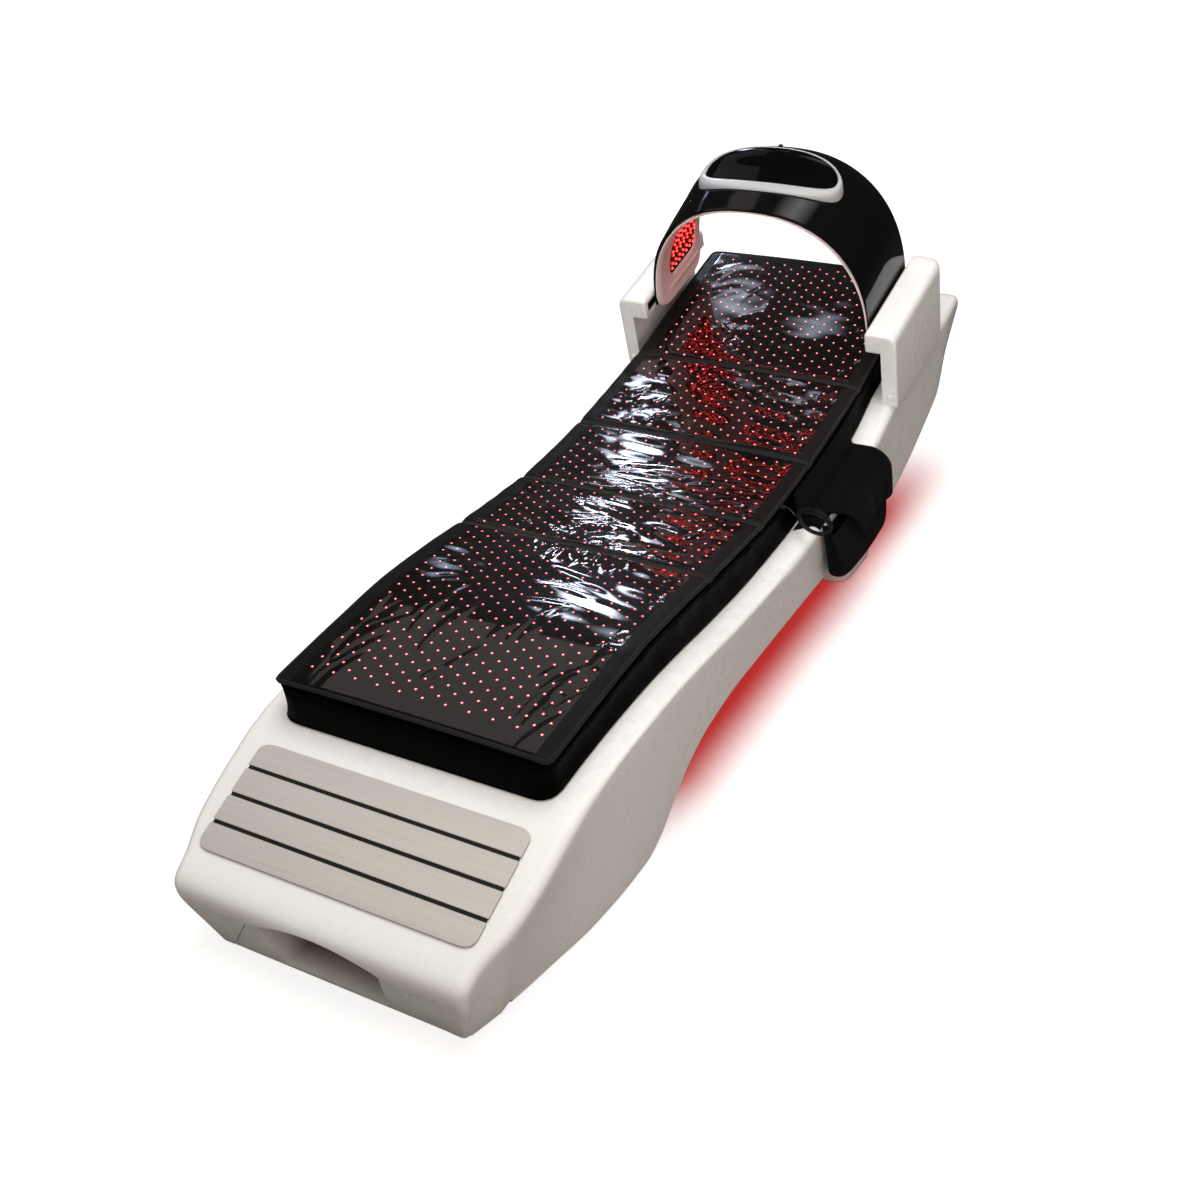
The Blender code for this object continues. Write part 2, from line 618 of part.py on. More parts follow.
def build_frame(parent):
    """Steel subframe between the tray and the deck, with the power supply and LED driver on it."""
    tray_face = TRAY_FLAT + TRAY_THICK + GAP
    rail_top = tray_face + RAIL_HIGH
    for side, hand in ((-1, "left"), (1, "right")):
        inner, outer = sorted((side * RAIL_X[0], side * RAIL_X[1]))
        name = "frame_rail_" + hand
        mesh = box_tube(name, (inner, RAIL_ENDS[0], tray_face), (outer, RAIL_ENDS[1], rail_top), 1, TUBE_WALL)
        add(name, mesh, PAINT, parent)
        name = "frame_leg_" + hand
        leg = RAIL_ENDS[0] + 0.01
        mesh = box_tube(name, (inner, leg, GLIDE + TRAY_THICK + GAP),
                        (outer, leg + 0.04, tray_face - GAP), 2, TUBE_WALL)
        add(name, mesh, PAINT, parent)
    for name, station in zip(("deck_bearer_front", "deck_bearer_middle", "deck_bearer_rear"), BEARER_AT):
        ends = (station - 0.02, station + 0.02)
        ceiling = min(deck_face(s) for s in np.linspace(*ends, 9)) - RECESS - WALL - 0.0008
        mesh = box_tube(name, (-BEARER_HALF, ends[0], rail_top + GAP), (BEARER_HALF, ends[1], ceiling), 0, TUBE_WALL)
        add(name, mesh, PAINT, parent)
    for name, (half, front, back, high), look in (("power_supply", SUPPLY, STEEL), ("led_driver", DRIVER, PAINT)):
        add(name, block(name, (-half, front, tray_face), (half, back, tray_face + high), 0.003), look, parent)


def build_footrest(bed):
    """Black backing pad with four brushed slats, in a frame that lies on the footrest plane."""
    middle = sum(FOOT_ENDS) / 2
    spot = empty("footrest_plane", (0.0, middle, PLATE_Z + plate_tan * middle), PLATE_SLOPE, bed)
    length = (FOOT_ENDS[1] - FOOT_ENDS[0]) / math.cos(PLATE_SLOPE)

    def flat(x, y, depth):
        return (x, y, depth)
    edge = 0.002
    outline = rounded(FOOT_HALF - edge, -length / 2 + edge, length / 2 - edge, (FOOT_R - edge,) * 4)
    add("foot_backing", prism("foot_backing", outline, GAP, BACKING_THICK, flat), BLACK, spot)
    pitch = (length + SLAT_GAP) / SLATS
    base = BACKING_THICK + GAP
    for k in range(SLATS):
        low = -length / 2 + k * pitch
        radii = (FOOT_R if k == 0 else 0.0, FOOT_R if k == SLATS - 1 else 0.0) * 2
        radii = (radii[0], radii[1], radii[1], radii[0])
        name = "foot_slat_%d" % (k + 1)
        slat = rounded(FOOT_HALF, low, low + pitch - SLAT_GAP, radii)
        add(name, prism(name, slat, base, base + SLAT_THICK, flat), STEEL, spot)


def pad_columns(half):
    return half * np.array((-1.0, -0.6, 0.0, 0.6, 1.0))


def crown(x):
    return CROWN * (1 - (x / PAD_HALF)**2)


def mat_stations():
    """Stations shared by the mattress, the mat and its cover, with three at each sewn seam."""
    plain = [s for s in np.linspace(*MAT_ENDS, 34) if min(abs(s - seam) for seam in MAT_SEAMS) > 0.018]
    sewn = [seam + shift for seam in MAT_SEAMS for shift in (-0.007, 0.0, 0.007)]
    return np.array(sorted(plain + sewn))


def build_mattress(parent):
    """Foam mattress: crowned top, sides drawn in, rounded corners, flat where it rests on the deck."""
    front, back = PAD_ENDS
    ends = np.array((0.0, 0.12, 0.4, 1.0))
    both = np.unique(np.round(np.r_[mat_stations(), DECK_ROWS], 5))
    stations = np.r_[front + PAD_R * ends * 0.9, both[(both > front + PAD_R) & (both < back - PAD_R)],
                     (back - PAD_R * ends * 0.9)[::-1]]
    rings = []
    for s in stations:
        inside = min(s - front, back - s, PAD_R)
        half = PAD_HALF - PAD_R + math.sqrt(max(PAD_R**2 - (PAD_R - inside)**2, 0.0))
        low = deck_face(s) - RECESS + 2 * GAP
        high = float(np.interp(s, mat_stations(), mat_top(mat_stations()))) - MAT_THICK - FILM_THICK - 3 * GAP
        height = high - low
        side = [(half - 0.006, low), (half, low + 0.010), (half - PAD_SIDE_IN, low + 0.5 * height),
                (half, high - 0.014), (half - 0.004, high - 0.004)]
        ring = [(x, s, z) for x, z in side]
        ring += [(x, s, high + crown(x)) for x in pad_columns(MAT_HALF * half / PAD_HALF - 0.004)[::-1]]
        ring += [(-x, s, z) for x, z in side[::-1]]
        rings.append(ring)
    add("mattress", ring_loft("mattress", rings), BLACK, parent)


def mat_layer(name, low, high, half, dip, look, parent):
    """One layer on the mattress, between two lifts over its top; dip thins it along the sewn seams."""
    stations = mat_stations()
    columns = pad_columns(half)
    base = mat_top(stations)[:, None] - MAT_THICK - FILM_THICK - 3 * GAP + crown(columns)[None, :]
    sewn = np.array([min(abs(s - seam) for seam in MAT_SEAMS) < 1e-6 for s in stations])
    x = np.ones(len(stations))[:, None] * columns
    y = stations[:, None] * np.ones(len(columns))
    upper = np.dstack([x, y, base + high - dip * sewn[:, None]])
    lower = np.dstack([x, y, base + low])
    add(name, plate_between(name, upper, lower), look, parent)


def build_mats(parent):
    mat_layer("led_mat", 2 * GAP, MAT_THICK, MAT_HALF, SEAM_DIP, BLACK, parent)
    film = MAT_THICK + GAP
    mat_layer("mat_cover_film", film, film + FILM_THICK, MAT_HALF - 0.004, 0.0, CLEAR, parent)


def to_head(s, z):
    """Stations and heights to the head frame's along and up."""
    a, b = s - HEAD_AT[0], z - HEAD_AT[1]
    return (a * math.cos(HEAD_TILT) + b * math.sin(HEAD_TILT), b * math.cos(HEAD_TILT) - a * math.sin(HEAD_TILT))


def rim_in_head():
    """The rim's own rows in the head frame, as two arrays: along and up."""
    rows = [to_head(s, float(deck(s))) for s in DECK_ROWS if s > HEAD_AT[0] - 0.24]
    return np.array(rows).T


def build_armrest(side, hand, head):
    """Inverted L that hooks in over the mattress, with a slot for the dome's rail in its inner face."""
    rim_u, rim_n = rim_in_head()
    front, back = ARM_ENDS
    rings = []
    over_rows = [(u - front) / (back - front) for u in rim_u if front + 0.03 < u < back - 0.03]
    for share in sorted([0.0, 0.02, 0.06, 0.9, 0.96, 0.99, 1.0] + over_rows):
        u = front + (back - front) * share
        leg = float(np.interp(u, rim_u, rim_n)) + 0.0006
        lap = ARM_LAP * math.sin(math.pi * min(max(share, 0.04), 0.96))**0.5
        round_off = 0.005 if share in (0.0, 1.0) else 0.0
        past = max(0.0, 1 - (back - u) / ARM_TAIL)
        arc = ARM_TAIL * (1 - math.sqrt(1 - min(past, 1.0)**2))
        top = ARM_TOP - round_off - arc * 0.25
        out = ARM_OUTER - round_off - arc * 0.7
        apron_in = min(HEAD_HALF + 0.0016, out - 0.004)
        if apron_in < HEAD_HALF + 0.0016:
            lap = GAP
        ring = [(ARM_INNER + round_off, ARM_LIP + round_off), (ARM_NOTCH - 0.001, ARM_LIP + round_off),
                (ARM_NOTCH, ARM_LIP - 0.004), (ARM_NOTCH, leg), (apron_in, leg), (apron_in, leg - lap), (out, leg - lap)]
        for k in range(5):
            angle = math.radians(90 * k / 4)
            ring.append((out - ARM_R + ARM_R * math.cos(angle), top - ARM_R + ARM_R * math.sin(angle)))
        ring += [(ARM_INNER + 0.010, top), (ARM_INNER + 0.003 + round_off, top - 0.003),
                 (ARM_INNER + round_off, top - 0.010)]
        rings.append([(side * x, u, n) for x, n in ring])
    name = "armrest_" + hand
    arm = add(name, ring_loft(name, rings), WHITE, head)
    low, high = CHANNEL
    ends = (front + CHANNEL_STOP, back - CHANNEL_STOP - 0.012)
    slot_x = sorted((side * (ARM_INNER - 0.01), side * (ARM_INNER + CHANNEL_DEPTH)))
    cut(arm, block("rail_slot_" + hand, (slot_x[0], ends[0], low), (slot_x[1], ends[1], high)), "rail_slot_" + hand)
    mouth, floor = ARM_INNER + 0.0006, ARM_INNER + CHANNEL_DEPTH - GAP
    bottom, top = low + GAP, high - GAP
    section = [(mouth, bottom), (floor, bottom), (floor, top), (mouth, top), (mouth, top - RAIL_WALL),
               (floor - RAIL_WALL, top - RAIL_WALL), (floor - RAIL_WALL, bottom + RAIL_WALL), (mouth, bottom + RAIL_WALL)]
    name = "slide_rail_" + hand
    rail = [[(side * x, u, n) for x, n in section] for u in (ends[0] + GAP, ends[1] - GAP)]
    add(name, ring_loft(name, rail), ALUMINIUM, head)
    cap_n = float(np.interp(front + 0.01, rim_u, rim_n)) + 0.022
    cap = disc("armrest_cap_" + hand, 0.0075, front - 0.0035, front - GAP,
               lambda a, b, d: (side * (HEAD_HALF - 0.008) + a, d, cap_n + b), 16)
    add("armrest_cap_" + hand, cap, WHITE, head)


dome_top = smooth_line(DOME_TOP)
dome_power = smooth_line(DOME_POWER)


def arch(share, half, top, power):
    """Point on a superellipse arch, from its left foot (0) to its right foot (1)."""
    angle = math.pi * (1 - share)
    c, s = math.cos(angle), math.sin(angle)
    return (half * math.copysign(abs(c)**(2 / power), c), top * max(s, 0.0)**(2 / power))


def arch_shares(count):
    return list(np.linspace(0.0, 1.0, count))


def dome_height(x, u):
    """Height of the dome's skin over a point of its plan."""
    power = float(dome_power(u))
    return float(dome_top(u)) * (1 - min(abs(x) / DOME_HALF, 1.0)**power)**(1 / power)


def build_dome_skin(slide):
    """Glossy outer skin of the dome."""
    shares = arch_shares(33)
    stations = (0.0, 0.025, 0.05, 0.08, 0.11, 0.145, 0.18, 0.20, 0.225, DOME_DEPTH)
    outer, inner = [], []
    for u in stations:
        top, power = float(dome_top(u)), float(dome_power(u))
        outer.append([(x, u, n) for x, n in (arch(t, DOME_HALF, top, power) for t in shares)])
        inner.append([(x, u, n) for x, n in (arch(t, DOME_HALF - DOME_SKIN, top - DOME_SKIN, power) for t in shares)])
    add("dome_skin", plate_between("dome_skin", np.array(outer), np.array(inner)), GLOSS, slide)


def liner_arch(share, u, inset):
    top = LINER_TOP[0] + (LINER_TOP[1] - LINER_TOP[0]) * u / DOME_DEPTH - GAP
    return arch(share, DOME_HALF - DOME_SKIN - GAP - inset, top - inset, LINER_POWER)


def window_shares():
    return (SIDE_WINDOW, TOP_WINDOW, (1 - SIDE_WINDOW[1], 1 - SIDE_WINDOW[0]))


def liner_feet(stations, inset):
    """Columns of the liner's left foot, from its lower edge up: the corners are quarter circles."""
    front, back = stations[0], stations[-1]
    columns = []
    for angle in np.radians((0.0, 22.5, 45.0, 67.5)):
        n = LINER_R * (1 - math.cos(angle)) - LINER_DROP
        trim = LINER_R * (1 - math.sin(angle))
        column = []
        for u in stations:
            along = front + trim + (u - front) * (back - front - 2 * trim) / (back - front)
            x = DOME_HALF - DOME_SKIN - GAP - inset
            column.append((-x, along, n))
        columns.append(column)
    return columns


def with_feet(rows, stations, inset):
    """Rows of the liner's arch with its left and right feet added."""
    left = np.array(liner_feet(stations, inset)).transpose(1, 0, 2)
    return np.concatenate([left, np.array(rows), left[:, ::-1] * (-1, 1, 1)], axis=1)


def build_liner(slide):
    """Pale inner liner with three sunk windows and deep rounded feet, and an LED board in each window."""
    rim_step = 0.004
    foot_share = 0.0165      # where the feet's corners end
    shares = {foot_share, 1 - foot_share} | set(arch_shares(21)[1:-1])
    for low, high in window_shares():
        shares = {t for t in shares if not (low - 0.02 < t < low + 0.02 or high - 0.02 < t < high + 0.02)}
        shares |= {low - rim_step, low, high, high + rim_step}
    shares = sorted(shares)
    low_u, high_u = WINDOW_U
    middle_u = (low_u + (high_u - low_u) / 3, high_u - (high_u - low_u) / 3)
    stations = (0.001, low_u - 0.0015, low_u, *middle_u, high_u, high_u + 0.0015, DOME_DEPTH - 0.001)
    outer, inner = [], []
    for u in stations:
        outer.append([(x, u, n) for x, n in (liner_arch(t, u, 0.0) for t in shares)])
        row = []
        for t in shares:
            sunk = low_u <= u <= high_u and any(low <= t <= high for low, high in window_shares())
            x, n = liner_arch(t, u, LINER - (WINDOW_DEPTH if sunk else 0.0))
            row.append((x, u, n))
        inner.append(row)
    outer, inner = with_feet(outer, stations, 0.0), with_feet(inner, stations, LINER)
    add("dome_liner", plate_between("dome_liner", outer, inner), PINK, slide)
    floor = LINER - WINDOW_DEPTH
    for name, (low, high) in zip(("left", "top", "right"), window_shares()):
        board = [t for t in shares if low <= t <= high]
        board[0] += 0.003
        board[-1] -= 0.003
        faces = []
        for inset in (floor + 0.0004, floor + 0.0004 + BOARD_THICK):
            faces.append(np.array([[(x, u, n) for x, n in (liner_arch(t, u, inset) for t in board)]
                                   for u in (low_u + 0.001, *middle_u, high_u - 0.001)]))
        node = "led_board_" + name
        add(node, plate_between(node, *faces), LED_RED, slide)


def bean(angle, share):
    """Console outline in plan, from the bezel's outer edge (0) to the glass (1)."""
    half, depth, middle = (a + (b - a) * share for a, b in zip(BEZEL, SCREEN))
    c, s = math.cos(angle), math.sin(angle)
    x = half * math.copysign(abs(c)**(2 / BEZEL_POWER), c)
    u = middle + depth * math.copysign(abs(s)**(2 / BEZEL_POWER), s)
    return x, u + BEZEL_BOW * (1 - (x / half)**2)


def end_rise(x):
    """How much more the console stands over the skin towards its ends."""
    return END_RISE * (abs(x) / BEZEL[0])**3


def build_console(slide):
    """Silver bezel, wide at the front, on the dome's brow, with a glossy black glass inside it."""
    angles = np.arange(48) * 2 * math.pi / 48
    seat = 0.0012
    # Section of the bezel: share inwards, share of its rise
    section = ((0.0, 0.0), (0.04, 0.6), (0.2, 1.0), (0.75, 1.0), (1.0, 0.75), (1.0, 0.0))
    rings = []
    for angle in angles:
        ring = []
        for share, lift in section:
            x, u = bean(angle, share)
            rise = max(seat, lift * (BEZEL_RISE + end_rise(x)))
            ring.append((x, u, dome_height(x, u) + rise))
        rings.append(ring)
    add("console_bezel", ring_loft("console_bezel", rings, closed_path=True), SILVER, slide)
    layers = []
    for lift in (GLASS_LIFT, GLASS_LIFT + GLASS_THICK):
        rows = []
        for across in np.linspace(0.0, 1.0, 6):
            row = []
            for angle in angles[:25]:
                x0, u0 = bean(angle, 1.02)
                x1, u1 = bean(-angle, 1.02)
                x, u = x0 + (x1 - x0) * across, u0 + (u1 - u0) * across
                row.append((x, u, dome_height(x, u) + lift + 0.75 * end_rise(x)))
            rows.append(row)
        layers.append(np.array(rows))
    add("console_glass", plate_between("console_glass", layers[1], layers[0]), GLOSS, slide)
    base = dome_height(0.0, GLAND_U - GLAND_R) + 0.0006
    gland = disc("dome_gland", GLAND_R, base, base + 0.007, lambda a, b, d: (a, GLAND_U + b, d), 12)
    add("dome_gland", gland, BLACK, slide)


def build_carriages(slide):
    """Runners on the dome's feet that ride in the armrests' rails."""
    low, high = CHANNEL
    start = (DOME_DEPTH - CARRIAGE_LENGTH) / 2
    inner = DOME_HALF + GAP
    outer = ARM_INNER + CHANNEL_DEPTH - GAP - RAIL_WALL - RUN
    lift = GAP + RAIL_WALL + RUN
    for side, hand in ((-1, "left"), (1, "right")):
        ends = sorted((side * inner, side * outer))
        mesh = block("carriage_" + hand, (ends[0], start, low + lift),
                     (ends[1], start + CARRIAGE_LENGTH, high - lift), 0.001)
        add("carriage_" + hand, mesh, ALUMINIUM, slide)


def flap_path(s, hang):
    """Cross-section of the pouch's flap at a station: mattress side, rim, free edge."""
    side = PAD_HALF + 2 * GAP
    zt, wall = deck_face(s), float(rim_half(s))
    return np.array(((side, zt + 0.083), (side, zt + 0.045), (side + 0.001, zt + 0.012), (side + 0.008, zt + 0.0024),
                     (wall - 0.020, zt + 0.0020), (wall + 0.004, zt + 0.0010), (wall + 0.024, zt - 0.008),
                     (wall + 0.040, zt - 0.027), (wall + FLAP_OUT - 0.003, zt - 0.055), (wall + FLAP_OUT, zt - hang)))


def build_pouch(bed):
    """Felt saddle pouch: a flap from under the mat over the rim, and a pocket outside the wall."""
    at_mat, at_rim, at_hem, rear = FLAP_STATIONS
    columns = 8
    fronts = np.interp(np.arange(10), (0, 4, 9), (at_mat, at_rim, at_hem))
    upper, lower = [], []
    for share in np.linspace(0.0, 1.0, columns):
        stations = fronts + (rear - fronts) * share
        row_up, row_low = [], []
        for k, s in enumerate(stations):
            fold = 0.004 * math.sin(2.5 * math.pi * share) * max(0, k - 5) / 4
            line = flap_path(s, FLAP_HANG + 0.012 * share)
            before, after = line[max(k - 1, 0)], line[min(k + 1, 9)]
            run = (after - before) / np.linalg.norm(after - before)
            out = np.array((-run[1], run[0]))
            point = line[k] + np.array((fold, 0.0))
            far = point + out * FLAP_THICK
            row_low.append((point[0], s, point[1]))
            row_up.append((far[0], s, far[1]))
        lower.append(row_low)
        upper.append(row_up)
    add("pouch_flap", plate_between("pouch_flap", np.array(upper), np.array(lower)), FELT, bed)
    build_pocket(bed)


def pocket_ring(depth, inset):
    """Ring of the pocket at a share of its depth below the mouth; it swells, then draws in at the bottom."""
    front, back = POCKET_ENDS
    swell = math.sin(math.pi * min(depth, 1.0) * 0.8)
    close = max(0.0, depth - 0.75) / 0.25
    front += 0.050 * depth + 0.045 * close**2 + inset
    back -= 0.010 * depth + 0.060 * close**1.5 + inset
    thick = POCKET_MOUTH + POCKET_SWELL * swell - 0.006 * close - 2 * inset
    ring = []
    for angle in np.arange(20) * 2 * math.pi / 20:
        c, s = math.cos(angle), math.sin(angle)
        station = (front + back) / 2 + (back - front) / 2 * math.copysign(abs(c)**0.6, c)
        x = float(rim_half(station)) + GAP + inset + thick / 2 * (1 + math.copysign(abs(s)**0.6, s))
        rim = deck_face(station)
        level = deck_face(sum(POCKET_ENDS) / 2)
        corner = math.exp(-((station - front) / 0.020)**2)
        top = rim - POCKET_DROP[0] + POCKET_CORNER * corner - POCKET_SLANT * max(0.0, station - POCKET_ENDS[0] - 0.165)
        bottom = level - POCKET_DROP[1]
        ring.append((x, station, top + (bottom + inset - top) * depth))
    return ring


def build_pocket(bed):
    """Pocket with an open mouth, and the mat's controller standing in it."""
    depths = (1.0, 0.94, 0.78, 0.5, 0.25, 0.0)
    rings = [pocket_ring(d, 0.0) for d in depths] + [pocket_ring(d, POCKET_THICK) for d in depths[::-1]]
    add("pouch_pocket", ring_loft("pouch_pocket", rings), FELT, bed)
    level = pocket_ring(1.0, POCKET_THICK)[0][2] + 2 * GAP
    front, thick, length, high = CONTROLLER
    spot = float(rim_half(front)) + POCKET_THICK + 0.003
    case = block("mat_controller", (spot, front, level), (spot + thick, front + length, level + high), 0.003)
    add("mat_controller", case, BLACK, bed)


def tube(name, points, look, bed, resolution):
    """Cable along points as a bevelled curve with closed ends."""
    line = bpy.data.curves.new(name, "CURVE")
    line.dimensions = "3D"
    line.bevel_depth = CABLE_R
    line.bevel_resolution = resolution
    line.use_fill_caps = True
    spline = line.splines.new("POLY")
    spline.points.add(len(points) - 1)
    for spot, point in zip(spline.points, points):
        spot.co = (*map(float, point), 1.0)
    thing = bpy.data.objects.new(name, line)
    bpy.context.collection.objects.link(thing)
    line.materials.append(finish(name, *look))
    thing.parent = bed
    return thing


def smooth_route(points, count):
    """Even points on a smooth curve through a route's own points."""
    points = np.array(points, float)
    reach = np.r_[0.0, np.cumsum(np.linalg.norm(np.diff(points, axis=0), axis=1))]
    lines = [smooth_line(list(zip(reach, points[:, k]))) for k in range(3)]
    at = np.linspace(0.0, reach[-1], count)
    return np.stack([line(at) for line in lines], axis=1)


def coil_points():
    """Loops of the cable: two layers that spiral in, climb and spiral out again."""
    per_loop = 24
    pitch = 2 * CABLE_R + 0.0012
    turn = np.arange(int(COIL_LOOPS * per_loop) + 1) / per_loop
    half = COIL_LOOPS / 2
    climb = np.clip((turn - half) * 2 + 0.5, 0.0, 1.0)
    climb = climb * climb * (3 - 2 * climb)
    radius = COIL_R - pitch * (half - np.abs(turn - half)) + 0.5 * pitch * climb
    angle = math.pi - 2 * math.pi * turn
    flat = np.stack([radius * np.cos(angle), radius * np.sin(angle), 1.1 * pitch * climb], axis=1)
    tilt = np.array(Matrix.Rotation(COIL_TILT, 3, "Y"))
    return flat @ tilt.T + np.array((*COIL_AT, deck_face(COIL_AT[1]) + COIL_LIFT)), per_loop


def least_gap(points, per_loop):
    """Smallest clear distance between stretches of the tube that aren't neighbours."""
    apart = np.linalg.norm(points[:, None] - points[None], axis=2)
    index = np.arange(len(points))
    far = np.abs(index[:, None] - index[None]) > per_loop // 3
    return apart[far].min() - 2 * CABLE_R


def build_cable(bed):
    """Mat lead: strain relief at the mat's edge, a short run, the coil, and a run into the pocket."""
    relief_s = RELIEF_AT
    height = float(mat_top(relief_s)) - MAT_THICK / 2 - FILM_THICK - 3 * GAP
    edge = MAT_HALF + GAP
    rings = []
    for x, half in ((edge, 0.0046), (edge + 0.004, 0.0046), (edge + 0.016, 0.0028)):
        rings.append([(x, relief_s + half * math.cos(t), height + half * math.sin(t))
                      for t in np.arange(12) * math.pi / 6])
    add("mat_strain_relief", ring_loft("mat_strain_relief", rings), BLACK, bed)
    coil, per_loop = coil_points()
    print("least gap in the coil: %.2f mm" % (1000 * least_gap(coil, per_loop)))
    tube("mat_cable_coil", coil, BLACK, bed, 1)
    start = np.array((edge + 0.016 + 2 * GAP, relief_s, height))
    into = coil[0] - coil[1]
    into /= np.linalg.norm(into)
    first = coil[0] + into * GAP
    lead = [start, start + (0.006, 0.0, 0.0), first + into * 0.024 + (0.0, 0.0, 0.012), first + into * 0.008, first]
    tube("mat_cable_lead", smooth_route(lead, 12), BLACK, bed, 2)
    away = coil[-1] - coil[-2]
    away /= np.linalg.norm(away)
    last = coil[-1] + away * GAP
    inside = RIM_HALF + 0.0105
    box = bpy.data.objects["mat_controller"].data.vertices
    plug = np.array((inside + 0.010, CONTROLLER[0] + CONTROLLER[2] / 2, max(v.co.z for v in box) + GAP))
    down = [(inside, POCKET_ENDS[0] + along, deck_face(POCKET_ENDS[0] + along) + lift)
            for along, lift in ((0.037, 0.0115), (0.049, -0.0137), (0.067, -0.0434))]
    tail = [last, last + away * 0.006, *down, plug + (0.0, -0.012, 0.020), plug + (0.0, 0.0, 0.010), plug]
    tube("mat_cable_tail", smooth_route(tail, 24), BLACK, bed, 2)


def main():
    bed = empty("bed_origin", (0.0, -sum(PEDESTAL) / 2, 0.0))
    build_shell(bed)
    build_front_panel(bed)
    build_tray(bed)
    build_feet(bed)
    build_frame(bed)
    build_footrest(bed)
    build_mattress(bed)
    build_mats(bed)
    head = empty("head_frame", (0.0, *HEAD_AT), HEAD_TILT, bed)
    for side, hand in ((-1, "left"), (1, "right")):
        build_armrest(side, hand, head)
    slide = empty("dome_slide_axis", (0.0, 0.0, 0.0), 0.0, head)
    build_dome_skin(slide)
    build_liner(slide)
    build_console(slide)
    build_carriages(slide)
    build_pouch(bed)
    build_cable(bed)


main()
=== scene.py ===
import math

import bpy
import numpy as np
from mathutils import Matrix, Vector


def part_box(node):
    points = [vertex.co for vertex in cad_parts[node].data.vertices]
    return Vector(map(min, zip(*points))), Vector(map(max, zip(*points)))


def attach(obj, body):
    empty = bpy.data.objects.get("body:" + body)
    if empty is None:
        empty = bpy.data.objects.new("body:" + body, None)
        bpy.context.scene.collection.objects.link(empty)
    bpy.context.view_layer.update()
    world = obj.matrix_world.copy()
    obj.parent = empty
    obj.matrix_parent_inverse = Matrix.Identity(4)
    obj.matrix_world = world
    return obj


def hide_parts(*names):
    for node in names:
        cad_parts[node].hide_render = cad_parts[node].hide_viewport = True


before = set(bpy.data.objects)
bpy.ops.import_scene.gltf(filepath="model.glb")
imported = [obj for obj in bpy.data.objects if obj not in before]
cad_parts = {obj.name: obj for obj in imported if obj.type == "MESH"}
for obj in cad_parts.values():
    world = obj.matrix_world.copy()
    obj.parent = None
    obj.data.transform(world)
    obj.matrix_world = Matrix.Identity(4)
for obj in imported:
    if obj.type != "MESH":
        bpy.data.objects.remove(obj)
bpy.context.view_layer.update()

# Looks of the light therapy bed. Lengths are metres. A station runs from the front edge on the floor
# towards the head; the frame's Y is the station plus ORIGIN. The dome and armrests are drawn in the
# tilted head frame: x across, u along, n away from the head section.
ORIGIN = -1.679
GAP = 0.0003                # between pieces that touch
RIM_HALF, HEAD_HALF, FRONT_HALF = 0.336, 0.340, 0.257
WALL, WALL_FOOT, SHOULDER, GLIDE = 0.007, 0.074, 0.018, 0.004
PLATE_SLOPE, PLATE_Z, PLATE_END = math.radians(23.0), 0.188, 0.23
SLATS, SLAT_GAP = 4, 0.0075
REAR_TOP, REAR_END, REAR_LIP = 2.195, 2.262, 2.262 - 0.004
TRAY_START, TRAY_THICK, TRAY_FLAT = 0.10, 0.013, 0.150
PAD_HALF, PAD_ENDS, PAD_R = 0.284, (0.262, 2.096), 0.040
MAT_HALF, MAT_ENDS, MAT_THICK = 0.280, (0.268, 2.090), 0.010
MAT_DROP = 0.0017           # from the mat's drawn line down to its top
MAT_SEAMS = np.array((0.869, 1.113, 1.369, 1.661))
HEAD_STATION, HEAD_TILT = 1.740, math.radians(15.0)
HEAD_AT = (HEAD_STATION + ORIGIN, 0.570)
DOME_HALF, DOME_DEPTH, DOME_SKIN, LINER = 0.2715, 0.250, 0.004, 0.009
LINER_HALF = DOME_HALF - DOME_SKIN - GAP
LINER_DROP, LINER_R = 0.024, 0.044
LINER_ARC = 0.86            # metres of the arch to a share of 1
WINDOW_U, WINDOW_DEPTH, WINDOW_R = (0.064, 0.214), 0.005, 0.030
WINDOWS = {"left": (0.028, 0.29), "top": (0.36, 0.64), "right": (0.71, 0.972)}
BULB_PITCH = 0.0333
CABLE_R, RELIEF_STATION = 0.002, 1.205
SIDES = ((-1, "left"), (1, "right"))


# Plain helpers

def line_through(points):
    """Monotone cubic through (place, height) points: Hermite spans with harmonic-mean slopes."""
    place, height = np.array(points, float).T
    step = np.diff(place)
    rise = np.diff(height) / step
    a, b = 2 * step[1:] + step[:-1], step[1:] + 2 * step[:-1]
    same = rise[:-1] * rise[1:] > 0
    safe = np.where(same, rise[:-1], 1.0), np.where(same, rise[1:], 1.0)
    inner = np.where(same, (a + b) / (a / safe[0] + b / safe[1]), 0.0)
    slope = np.r_[rise[0], inner, rise[-1]]

    def value(x):
        x = np.asarray(x, float)
        i = np.clip(np.searchsorted(place, x, side="right") - 1, 0, len(step) - 1)
        t = (x - place[i]) / step[i]
        return ((2 * t**3 - 3 * t**2 + 1) * height[i] + (t**3 - 2 * t**2 + t) * step[i] * slope[i]
                + (3 * t**2 - 2 * t**3) * height[i + 1] + (t**3 - t**2) * step[i] * slope[i + 1])
    return value


def between(count, fine):
    """Catmull-Rom weights (fine x count): each fine point is a cubic blend of four neighbours."""
    at = np.linspace(0, count - 1, fine)
    i = np.clip(at.astype(int), 0, count - 2)
    t = (at - i)[:, None]
    near = np.clip(i[:, None] + np.arange(-1, 3), 0, count - 1)
    share = np.hstack([-t + 2 * t**2 - t**3, 2 - 5 * t**2 + 3 * t**3,
                       t + 4 * t**2 - 3 * t**3, t**3 - t**2]) / 2
    weights = np.zeros((fine, count))
    np.add.at(weights, (np.arange(fine)[:, None], near), share)
    return weights


